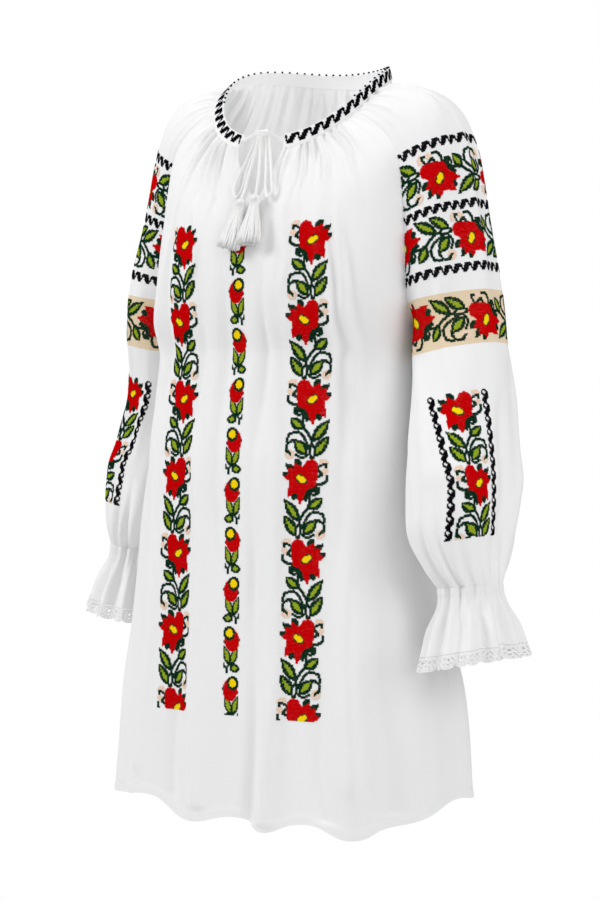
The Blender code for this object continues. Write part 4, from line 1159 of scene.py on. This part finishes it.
def sew(name, stitches, seed, nodes=CROSS_STITCHES):
    """Put a stitch on every place by the nodes, and make the result a plain mesh."""
    places = np.concatenate(stitches.places)
    mesh = bpy.data.meshes.new(name + "_places")
    mesh.from_pydata(places.tolist(), [], [])
    for label, rows in (("turn", stitches.turns), ("size", stitches.sizes)):
        layer = mesh.attributes.new(label, "FLOAT_VECTOR", "POINT")
        layer.data.foreach_set("vector", np.concatenate(rows).ravel())
    colours = np.array([(*c, 1.0) for c in THREADS])[np.concatenate(stitches.threads)]
    layer = mesh.attributes.new("thread", "FLOAT_COLOR", "POINT")
    layer.data.foreach_set("color", colours.ravel())
    base = added(name + "_places", mesh)
    maker = base.modifiers.new("stitches", "NODES")
    maker.node_group = nodes
    known = {item.name: item.identifier for item in nodes.interface.items_tree
             if item.item_type == "SOCKET" and item.in_out == "INPUT"}
    maker[known["Seed"]] = seed
    maker[known["Thread"]] = THREAD
    base.update_tag()
    view = bpy.context.evaluated_depsgraph_get()
    done = bpy.data.meshes.new_from_object(base.evaluated_get(view))
    done.name = name
    for label in ("turn", "size"):
        if label in done.attributes:
            done.attributes.remove(done.attributes[label])
    bpy.data.objects.remove(base)
    print(name, len(places), "stitches,", len(done.polygons), "faces")
    return added(name, done)


def lumps(name, places, along, up, size, thread, seed):
    """Small rounded stitches at places, lying along a direction with a face up."""
    work = Stitches()
    work.put(places, unit(along), unit(up), np.tile(size, (len(places), 1)),
             np.full(len(places), thread))
    return sew(name, work, seed, ROUND_STITCHES)


# %% [markdown]
# Three bands run down the front: a wide one over each breast and a narrow one from the slit. Each
# stops about a hand's width above the hem.

# %% Stitch the front bands
FRONT_FOOT = -0.718
NARROW_START = 14    # rows of the narrow chart already worked above its first visible row
FRONT_BANDS = (    # x of the middle, half chart, top, first row, which half comes first
    (0.090, wide, -0.172, 0, 1), (-0.087, wide, -0.172, 0, 1), (0.0, narrow, -0.199, NARROW_START, 0),
)
FRONT_ROWS = rows_of((0.25, 1, 260), (1, 2, 240))
SIDE_SPARE = 0.08    # share of each half, beside the side seam, that no band reaches
HALF_COUNT = 231
READ_EVERY = 10      # places of the dense surface


def front_half(from_place, to_place, half):
    return body_cloth(FRONT_ROWS, np.linspace(from_place, to_place, HALF_COUNT)[None], -1, half)


# the front from the slit down as one dense table of points, right half first
right_half, left_half = front_half(SIDE_SPARE, 1, -1), front_half(0, 1 - SIDE_SPARE, 1)
front_surface = np.concatenate([right_half[:, :-1], left_half], axis=1)
front_middle = HALF_COUNT - 1


def spaced(columns):
    """Edges of so many stitches, either side of a middle."""
    return STITCH * (np.arange(columns + 1) - columns / 2)


def band_down(surface, middle, top, foot, at_x, columns):
    """Lattice of a vertical band whose centre line keeps one distance from centre front."""
    levels = top - STITCH * np.arange(int(round((top - foot) / STITCH)) + 1)
    read = surface[:, ::READ_EVERY]
    offsets = []
    for level in levels:
        line = np.array([[np.interp(-level, -place[:, 2], place[:, axis]) for axis in (0, 1)]
                         for place in read.swapaxes(0, 1)])
        along = run_along(line)
        here = np.interp(at_x, line[:, 0], along) - along[middle // READ_EVERY]
        offsets.append(here + spaced(columns))
    return level_lattice(surface, levels, 0.0, middle, offsets)


def cut(chart, rows, start=0):
    """As many rows of an endless chart as a band has."""
    return chart[(start + np.arange(rows)) % len(chart)]


front_work = Stitches()
for at_x, half, top, start, first_half in FRONT_BANDS:
    corners, fits = band_down(front_surface, front_middle, top, FRONT_FOOT, at_x, half.shape[1])
    front_work.add(corners, fits, cut(mirrored(half, 2, first_half), len(corners) - 1, start))
keep(sew("front_embroidery", front_work, seed=11), "cotton_cord")

# %% [markdown]
# Each sleeve has two bands of roses between three black wave lines, then a band of roses on a sewn
# strip of sand-coloured cotton, and below it an upright column between two black chains. The bands
# run all round, so their level lines do too: only their slope is set, from the shoulder down.

# %% Stitch the sleeve bands
ROSE_ROW = ROSE_AT[1]
SLEEVE_LINES = ((-0.0752, 0.50), (-0.1477, 0.38), (-0.2171, 0.27))       # top, slope
SLEEVE_BANDS = (    # top, slope, place of one rose
    (-0.0897, 0.44, -0.053), (-0.1606, 0.32, -0.026), (-0.2509, 0.19, -0.023),
)
GROUND = (-0.2478, -0.3060, 0.19)                   # top, foot, slope
COLUMN = (-0.356, -0.512, 0.19, -0.066, -0.043)     # top, foot, slope, place at top and foot
CHAIN_AWAY = 0.0320
COLUMN_SKIPS = 12         # the column is worked closer: every twelfth row is left out
RIGHT_HIGHER, RIGHT_COLUMN_HIGHER = 0.008, 0.021    # the right arm is held a little higher
LINE_REACH, BAND_REACH = 0.14, 0.19
STRIP_LIFT = 0.00018
MIDDLE_Q = 150
ARM_ROWS = np.linspace(0.30, 1.97, 420)[:, None]
ARM_PLACES = np.linspace(-1, 1, 2 * MIDDLE_Q + 1)[None]
GROUND_COTTON = woven("sand_cotton", (0.79, 0.64, 0.44), thread=0.0005, slub=0.5)
column_chart = np.delete(mirrored(wide, 2, 0), np.arange(8, 2 * WIDE_ROWS, COLUMN_SKIPS), axis=0)


def repeat_round(half, rose_at):
    """An endless band laid along the level line with one rose centred on a place."""
    before = int(math.ceil((BAND_REACH + rose_at) / (len(half) * STITCH)))
    start = rose_at - (ROSE_ROW + before * len(half)) * STITCH
    columns = int(math.ceil((BAND_REACH - start) / STITCH))
    repeats = columns // len(half) + 1
    chart = mirrored(half, repeats, (before + 1) % 2).T[:, :columns]
    return chart, start + STITCH * np.arange(columns + 1)


def line_round(chart):
    columns = int(2 * LINE_REACH / STITCH)
    return np.tile(chart, columns // chart.shape[1] + 1)[:, :columns], spaced(columns)


for side, word in SIDES:
    surface = sleeve_cloth(ARM_ROWS, ARM_PLACES, side)
    rise, column_rise = (0, 0) if side > 0 else (RIGHT_HIGHER, RIGHT_COLUMN_HIGHER)
    work = Stitches()
    rounds = [(*row, *line_round(WAVE)) for row in SLEEVE_LINES]
    rounds += [(*row, *repeat_round(wide, rose_at)) for *row, rose_at in SLEEVE_BANDS]
    for top, slope, chart, offsets in rounds:
        levels = top + rise - STITCH * np.arange(len(chart) + 1)
        offsets = np.tile(offsets, (len(levels), 1))
        work.add(*level_lattice(surface, levels, slope, MIDDLE_Q, offsets), chart, side)
    top, foot, slope, at_top, at_foot = COLUMN
    rows = int(round((top - foot) / STITCH))
    levels = top + column_rise - STITCH * np.arange(rows + 1)
    middles = mix(at_top, at_foot, np.linspace(0, 1, rows + 1))[:, None]
    for chart, away in ((column_chart, 0), (CHAIN, -CHAIN_AWAY), (CHAIN, CHAIN_AWAY)):
        offsets = middles + away + spaced(chart.shape[1])
        work.add(*level_lattice(surface, levels, slope, MIDDLE_Q, offsets), cut(chart, rows), side)
    keep(sew(f"sleeve_{word}_embroidery", work, seed=20 + side), "cotton_cord")

    top, foot, slope = GROUND
    lines, _ = level_lines(surface, np.linspace(top, foot, 16) + rise, slope, MIDDLE_Q)
    lines = lines[:, ::2]
    face = np.cross(np.gradient(lines, axis=1), -np.gradient(lines, axis=0))
    ground = panel(f"sleeve_{word}_ground_strip", [lines + unit(face) * side * STRIP_LIFT],
                   GROUND_COTTON, 0.0003, flip=side < 0)
    keep(ground, "cotton_gauze")

# %% [markdown]
# The neckband carries a black stepped line all round, worked over two layers of cotton, and small
# overcast stitches on its top edge.

# %% Stitch the neckband
COLLAR_TOP = 0.0014
LINE_LEVEL = 0.3          # where on the band the steps are measured
ENDS_CLEAR = 0.6          # degrees left bare at each end


def even_round(step):
    """Angles round the neckband that are a stitch apart along it."""
    angles = np.linspace(SLIT_ANGLE + ENDS_CLEAR, 360 - SLIT_ANGLE - ENDS_CLEAR, 1500)
    along = run_along(band_cloth(LINE_LEVEL, angles))
    count = int(along[-1] / step)
    return np.interp(np.arange(count + 1) * along[-1] / count, along, angles)


collar_angles = even_round(STITCH)
drops = (COLLAR_TOP + STITCH * np.arange(len(COLLAR) + 1))[:, None] / BAND_HEIGHT
corners = band_cloth(drops, collar_angles[None])
stitches_round = len(collar_angles) - 1
collar_chart = np.tile(COLLAR, stitches_round // COLLAR.shape[1] + 1)[:, :stitches_round]
collar_work = Stitches()
collar_work.add(corners, np.ones(corners.shape[:2], bool), collar_chart)
keep(sew("neckband_embroidery", collar_work, seed=31), "cotton_cord")

# %% Overcast stitches on the top edge
WHIP_GAP, WHIP_FROM = 0.0092, 62.0    # they start beside the front, degrees
WHIP_SIZE = (0.0034, 0.0031, 0.0028)
whip_angles = even_round(WHIP_GAP)
whip_angles = whip_angles[np.abs(whip_angles - 180) < 180 - WHIP_FROM]
edge = band_cloth(0.0, whip_angles)
outside = outwards(whip_angles)
over = np.cross(unit(np.gradient(edge, axis=0)), outside)
over = unit(over * np.sign(over[:, 2:3]))
middle_of_edge = edge - outside * BAND_CLOTH * 0.4 + over * 0.0002
keep(lumps("neckband_overcast", middle_of_edge, outside, over, WHIP_SIZE, BLACK, seed=41),
     "cotton_cord")

# %% [markdown]
# Sewing thread shows as small white dashes, along the hem and on the neckband over the gathers.
# They could be drawn in the cloth's colour, but they stand up a little, so they are round stitches
# set a few millimetres apart on the same surface.

# %% Hem and neck stitches
DASH_GAP = 0.0034
DASH_SIZE = (0.0024, 0.00045, 0.00040)
HEM_STITCH_ROW = 2 - HEM_SHARE + 0.004
NECK_STITCH_LEVEL = 0.90
TOWARDS_AXIS = (0.995, 0.995, 1)
LINE_COUNT = 900


def sewn_line(line, inner):
    """Places, directions and faces of dashes on a line; inner is the same line inside the cloth."""
    along = run_along(line)
    count = max(2, int(along[-1] / DASH_GAP))
    at = (np.arange(count) + 0.5) * along[-1] / count
    points, inside = (at_runs(one, along, at) for one in (line, inner))
    return points, unit(np.gradient(points, axis=0)), unit(points - inside)


places = np.linspace(0, 1, LINE_COUNT)
row = np.full(LINE_COUNT, HEM_STITCH_ROW)
hems = [body_cloth(row, places, -1, 1), body_cloth(row, places, -1, -1),
        body_cloth(row, 1 - 2 * places, 1)]
fine_angles = np.linspace(SLIT_ANGLE + 1, 360 - SLIT_ANGLE - 1, LINE_COUNT)
line = band_cloth(NECK_STITCH_LEVEL, fine_angles)
found = [sewn_line(hem, hem * TOWARDS_AXIS) for hem in hems]
found.append(sewn_line(line, line - outwards(fine_angles) * 0.001))
keep(lumps("seam_stitches", *map(np.concatenate, zip(*found)), DASH_SIZE, WHITE, seed=43),
     "cotton_gauze")

# %% [markdown]
# The lace edging is crocheted cotton: a row of eyelets, an open net, and scallops with a firm edge.
# Its smallest holes are a millimetre wide, so one scallop is charted as filled and open cells, and
# the shell is cut cell by cell. Alpha maps would be lighter, but these holes are real.

# %% Lace on the cuffs
LACE_CHART = (
    "##############",
    "##############",
    "#.#.#.#.#.#.#.",
    "##############",
    "##############",
    "#.##.####.##.#",
    "###.##..##.###",
    "##.###..###.##",
    "##############",
    "#.##.####.##.#",
    "###.##..##.###",
    "##############",
    "##.##.##.##.##",
    "##############",
)
SCALLOP_DEPTH, NOTCH_RISE = 0.0046, 0.0026
LACE_END = 0.985
LACE_COTTON = woven("crochet_cotton", (0.90, 0.90, 0.90), thread=0.0009, depth=0.0002, slub=0.4)


def scallop_drop(q):
    """How far the lace's edge hangs at a place round the cuff, in a row of arcs."""
    across = (q + 1) / 2 * SCALLOPS % 1
    return SCALLOP_DEPTH * np.sqrt(np.maximum(0, 1 - (2 * across - 1) ** 2)) - NOTCH_RISE


columns, rows = SCALLOPS * len(LACE_CHART[0]), len(LACE_CHART)
q = np.linspace(-1, 1, columns + 1)[None]
share = np.linspace(0, 1, rows + 1)[:, None]
levels = mix(RUFFLE_END - EDGE_OVER, LACE_END, share)
tuck = LAP_TUCK * np.minimum(0, (levels - RUFFLE_END) / EDGE_OVER)
holes = [row * columns + column for row in range(rows) for column in range(columns)
         if LACE_CHART[row][column % len(LACE_CHART[0])] == "."]


def cut_holes(shape):
    bmesh.ops.delete(shape, geom=[shape.faces[hole] for hole in holes], context="FACES")


for side, word in SIDES:
    grid = cuff_cloth(levels, q, side, tuck)
    grid[..., 2] -= scallop_drop(q) * share ** 2
    lace = panel(f"cuff_lace_{word}_crochet", [grid], LACE_COTTON, 0.0006, flip=side < 0)
    reshape(lace.data, cut_holes)
    keep(lace, "cotton_lace", f"cuff_lace_{word}")
print("lace cells", rows * columns, "holes", len(holes))

# %% [markdown]
# The tie is a twisted cotton cord that runs from each end of the neckband through the knot to its
# own tassel, with the two bow loops drawn out of the knot. A free cord has a real length and
# diameter, so its route comes first and the twist follows it.

# %% Routes of the tie
TIE = 0.0034
KNOT = np.array((0.0095, -0.0875, -0.0710))
KNOT_RADII = np.array((0.0085, 0.0062, 0.0062))
CORD_STRANDS, CORD_LAY, CORD_SIDES = 3, 0.0075, 12
SIDE_WIDTH = 0.26         # of one side of a cord, in diameters
CORD_LEVEL = 0.35         # how far down the neckband's end the cord leaves it
POINT_STEP = 0.0008
CHEST = [(row_z, row_y) for _, row_y, row_z in CENTRE_FRONT]


def chest(x, z, lift):
    """Point in front of the chest, a distance off the cloth."""
    return (x, float(curve(CHEST, z, 1)) - lift, z)


def under_knot(x, y):
    """Where a cord comes out below the knot."""
    off = ((x - KNOT[0]) / KNOT_RADII[0]) ** 2 + ((y - KNOT[1]) / KNOT_RADII[1]) ** 2
    return (x, y, KNOT[2] - KNOT_RADII[2] * math.sqrt(max(0.1, 1 - off)))


def band_end(side):
    """The middle of the neckband's end, and the direction that leads off it."""
    around = math.radians(SLIT_ANGLE * side)
    into = np.array([-math.sin(around), math.cos(around), 0.0]) * BAND_CLOTH / 2
    towards = np.array([-side * math.cos(around), -side * math.sin(around), 0.0])
    return neckline(SLIT_ANGLE * side, BAND_HEIGHT * CORD_LEVEL) + into, towards


def evenly(route):
    """A smooth line through a few points, with points a step apart."""
    along = run_along(np.array(route, float))
    table = [(a, *p) for a, p in zip(along, route)]
    at = np.linspace(0, along[-1], max(12, int(along[-1] / POINT_STEP)))
    return np.stack([curve(table, at, k) for k in (1, 2, 3)], -1)


def angles_round(sides):
    return np.arange(sides) / sides * 2 * math.pi


def tube_faces(rings, sides):
    """Faces of a tube of rings of points, its ends closed."""
    number = np.arange(rings * sides).reshape(rings, sides)
    after = np.roll(number, -1, axis=1)
    quads = np.stack([number[:-1], after[:-1], after[1:], number[1:]], -1).reshape(-1, 4)
    return quads.tolist() + [number[0, ::-1].tolist(), number[-1].tolist()]


def twisted(name, line):
    """A twisted cord along a line: lobes that turn as they go, ends closed."""
    ahead, along = unit(np.gradient(line, axis=0)), run_along(line)
    angle = angles_round(CORD_SIDES)
    side = np.cross(ahead[0], (0.2, 1.0, 0.1))
    points = []
    for place, way, run in zip(line, ahead, along):
        side = unit(side - way * np.dot(side, way))
        twist = 2 * math.pi * run / CORD_LAY
        radius = TIE / 2 * (0.95 + 0.07 * np.cos(CORD_STRANDS * (angle - twist)))
        around = np.cos(angle)[:, None] * side + np.sin(angle)[:, None] * np.cross(way, side)
        points.append(place + around * radius[:, None])
    round_cord = np.tile(np.arange(CORD_SIDES) * TIE * SIDE_WIDTH, len(line))
    uvs = np.stack([np.repeat(along, CORD_SIDES), round_cord], -1)
    return smooth_piece(name, np.concatenate(points), tube_faces(len(line), CORD_SIDES), uvs,
                        CORD_COTTON)


CORD_COTTON = woven("cord_cotton", (0.95, 0.95, 0.945), thread=0.0006, depth=0.0002, slub=0.3)

# %% The two cords and the bow loops
BOW_STARTS = {    # x and y under the knot where a loop leaves it and comes back
    "left": ((0.0165, -0.0850), (0.0133, -0.0872)),
    "right": ((0.0027, -0.0850), (0.0060, -0.0872)),
}
BOWS = {
    "left": [(0.0240, -0.096, 0.0045), (0.0330, -0.126, 0.0045), (0.0362, -0.1395, 0.0045),
             (0.0325, -0.1450, 0.0048), (0.0285, -0.138, 0.0050), (0.0230, -0.114, 0.0050),
             (0.0170, -0.090, 0.0048)],
    "right": [(-0.0050, -0.096, 0.0045), (-0.0145, -0.124, 0.0045), (-0.0155, -0.1375, 0.0045),
              (-0.0105, -0.1440, 0.0048), (-0.0055, -0.137, 0.0050), (-0.0030, -0.114, 0.0050),
              (0.0020, -0.090, 0.0048)],
}
TIE_ENDS = {    # start under the knot, route, top and tip of the tassel
    "left": ((0.0117, -0.0918), [(0.0140, -0.098, 0.0095), (0.0180, -0.124, 0.0095)],
             (0.0190, -0.1420, 0.0095), (0.0205, -0.1970, 0.0108)),
    "right": ((0.0077, -0.0918), [(0.0062, -0.098, 0.0100), (0.0035, -0.126, 0.0100)],
              (0.0020, -0.1460, 0.0100), (-0.0070, -0.2015, 0.0108)),
}
INTO_TASSEL = 0.16    # the cord's end inside the tassel, as a share of it
cord_lines, loop_lines, cords, loops = {}, {}, {}, {}


def length_of(line):
    return float(run_along(line)[-1])


for side, word in SIDES:
    end, towards = band_end(side)
    start, rows, top, tip = TIE_ENDS[word]
    into_knot = KNOT + (side * 0.0070, 0.0004, 0.0006)
    route = [end, end + towards * 0.004, into_knot, KNOT + (side * 0.0035, -0.0025, -0.0005),
             np.array(under_knot(*start)) + (0, 0, 0.001), *(chest(*row) for row in rows), chest(*top),
             mix(np.array(chest(*top)), np.array(chest(*tip)), INTO_TASSEL)]
    cord_lines[word] = evenly(route)
    begin, finish = (under_knot(*place) for place in BOW_STARTS[word])
    loop_lines[word] = evenly([begin, *(chest(*row) for row in BOWS[word]), finish])
    cords[word] = twisted(f"tie_cord_{word}", cord_lines[word])
    keep(cords[word], "cotton_cord", f"tie_across_{word}", f"tie_end_{word}")
    loops[word] = twisted(f"bow_loop_{word}_cord", loop_lines[word])
    keep(loops[word], "cotton_cord", f"bow_loop_{word}")
    print(word, "cord mm", round(1000 * length_of(cord_lines[word])), "loop mm",
          round(1000 * length_of(loop_lines[word])))

# %% The knot: two turns of cord round the bow
WRAPS, WRAP_HALF_WIDTH, WRAP_HALF_DEPTH, WRAP_RISE = 2.15, 0.0068, 0.0047, 0.0026
turns = np.linspace(0, WRAPS * 2 * math.pi, 150)
wrap = KNOT + np.stack([WRAP_HALF_WIDTH * np.cos(turns), WRAP_HALF_DEPTH * np.sin(turns),
                        WRAP_RISE - 2 * WRAP_RISE * turns / turns[-1]], -1)
knot = keep(twisted("tie_knot_wrap", wrap), "cotton_cord", "tie_knot")

# %% Tassels
STRANDS, HEAD_THREADS, BINDING_TURNS = 132, 20, 5
HEAD_WIDE, SKIRT_WIDE, SKIRT_FLAT = 0.0048, 0.0132, 0.60    # half-widths, and depth to width
SKIRT_TOP, UNEVEN_CUT = 0.0078, 0.0030
SKIRT_LAYERS = (0.62, 0.84, 1.0)
LEAF_TURN = 2.39996       # spreads the strands evenly however many there are
STRAND_RADIUS, STRAND_UNEVEN = 0.00125, 0.0003
HEAD_BULGE, HEAD_FLAT, HEAD_RADIUS = 0.0056, 0.88, 0.00085
HEAD_TOP, HEAD_DROP = 0.0006, 0.0125
BINDING_TOP, BINDING_DROP, BINDING_RADIUS = 0.0098, 0.0030, 0.00045
BINDING_HALF_WIDTH, BINDING_HALF_DEPTH = 0.0051, 0.0044
THREAD_SIDES = 4


def tube(line, radius):
    """Points and faces of a thin thread, its ends closed."""
    ahead = unit(np.gradient(line, axis=0))
    one = unit(np.cross(ahead, (0.3, 0.9, 0.2)))
    two = np.cross(ahead, one)
    angle = angles_round(THREAD_SIDES)
    ring = line[:, None] + radius * (np.cos(angle)[None, :, None] * one[:, None]
                                     + np.sin(angle)[None, :, None] * two[:, None])
    return ring.reshape(-1, 3), tube_faces(len(line), THREAD_SIDES)


def tassel(name, top, tip):
    """A bound head over a full skirt of loose threads, cut level."""
    top = np.array(top)
    axis = np.array(tip) - top
    reach = np.linalg.norm(axis)
    down = axis / reach
    one = unit(np.cross(down, (0, 1, 0)))
    two = np.cross(down, one)
    random = np.random.default_rng(5)
    points, faces = [], []

    def thread(drop, out, flat, turn, radius):
        """One thread: how far down and out its points are, and at what turn."""
        line = (top + down * drop[:, None] + one * (out * np.cos(turn))[:, None]
                + two * (flat * out * np.sin(turn))[:, None])
        count = sum(map(len, points))
        more_points, more_faces = tube(line, radius)
        points.append(more_points)
        faces.extend([count + v for v in face] for face in more_faces)

    share = np.linspace(0, 1, 9)
    for k in range(STRANDS):
        angle = k * LEAF_TURN + 0.3 * random.random()
        wide = SKIRT_LAYERS[k % 3] * mix(HEAD_WIDE, SKIRT_WIDE, smooth(share * 1.1))
        out = wide + 0.0007 * np.sin(3 * share * math.pi + k) * share
        turn = angle + 0.16 * np.sin(2.2 * share + k) * share
        drop = mix(SKIRT_TOP, reach - UNEVEN_CUT * random.random(), share)
        thread(drop, out, SKIRT_FLAT, turn, STRAND_RADIUS + STRAND_UNEVEN * random.random())
    share = np.linspace(0, 1, 8)
    out = HEAD_BULGE * np.sin(math.pi * (0.12 + 0.74 * share)) ** 0.8
    for angle in angles_round(HEAD_THREADS):    # threads folded over the head
        thread(HEAD_TOP + HEAD_DROP * share, out, HEAD_FLAT, angle, HEAD_RADIUS)
    turns = np.linspace(0, BINDING_TURNS * 2 * math.pi, 110)
    thread(BINDING_TOP + BINDING_DROP * turns / turns[-1], BINDING_HALF_WIDTH,
           BINDING_HALF_DEPTH / BINDING_HALF_WIDTH, turns, BINDING_RADIUS)
    points = np.concatenate(points)
    return smooth_piece(name, points, faces, points[:, [0, 2]], CORD_COTTON)


tassels = {}
for _, word in SIDES:
    _, _, top, tip = TIE_ENDS[word]
    tassels[word] = tassel(f"tassel_{word}_threads", chest(*top), chest(*tip))
    keep(tassels[word], "cotton_cord", f"tassel_{word}")
    print("tassel", word, len(tassels[word].data.polygons), "faces")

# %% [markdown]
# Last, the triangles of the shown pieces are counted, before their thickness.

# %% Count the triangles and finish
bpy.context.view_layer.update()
total = sum(len(piece.data.loop_triangles) or 2 * len(piece.data.polygons)
            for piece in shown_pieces() if piece.type == "MESH")
print("about", total, "triangles before thickness")
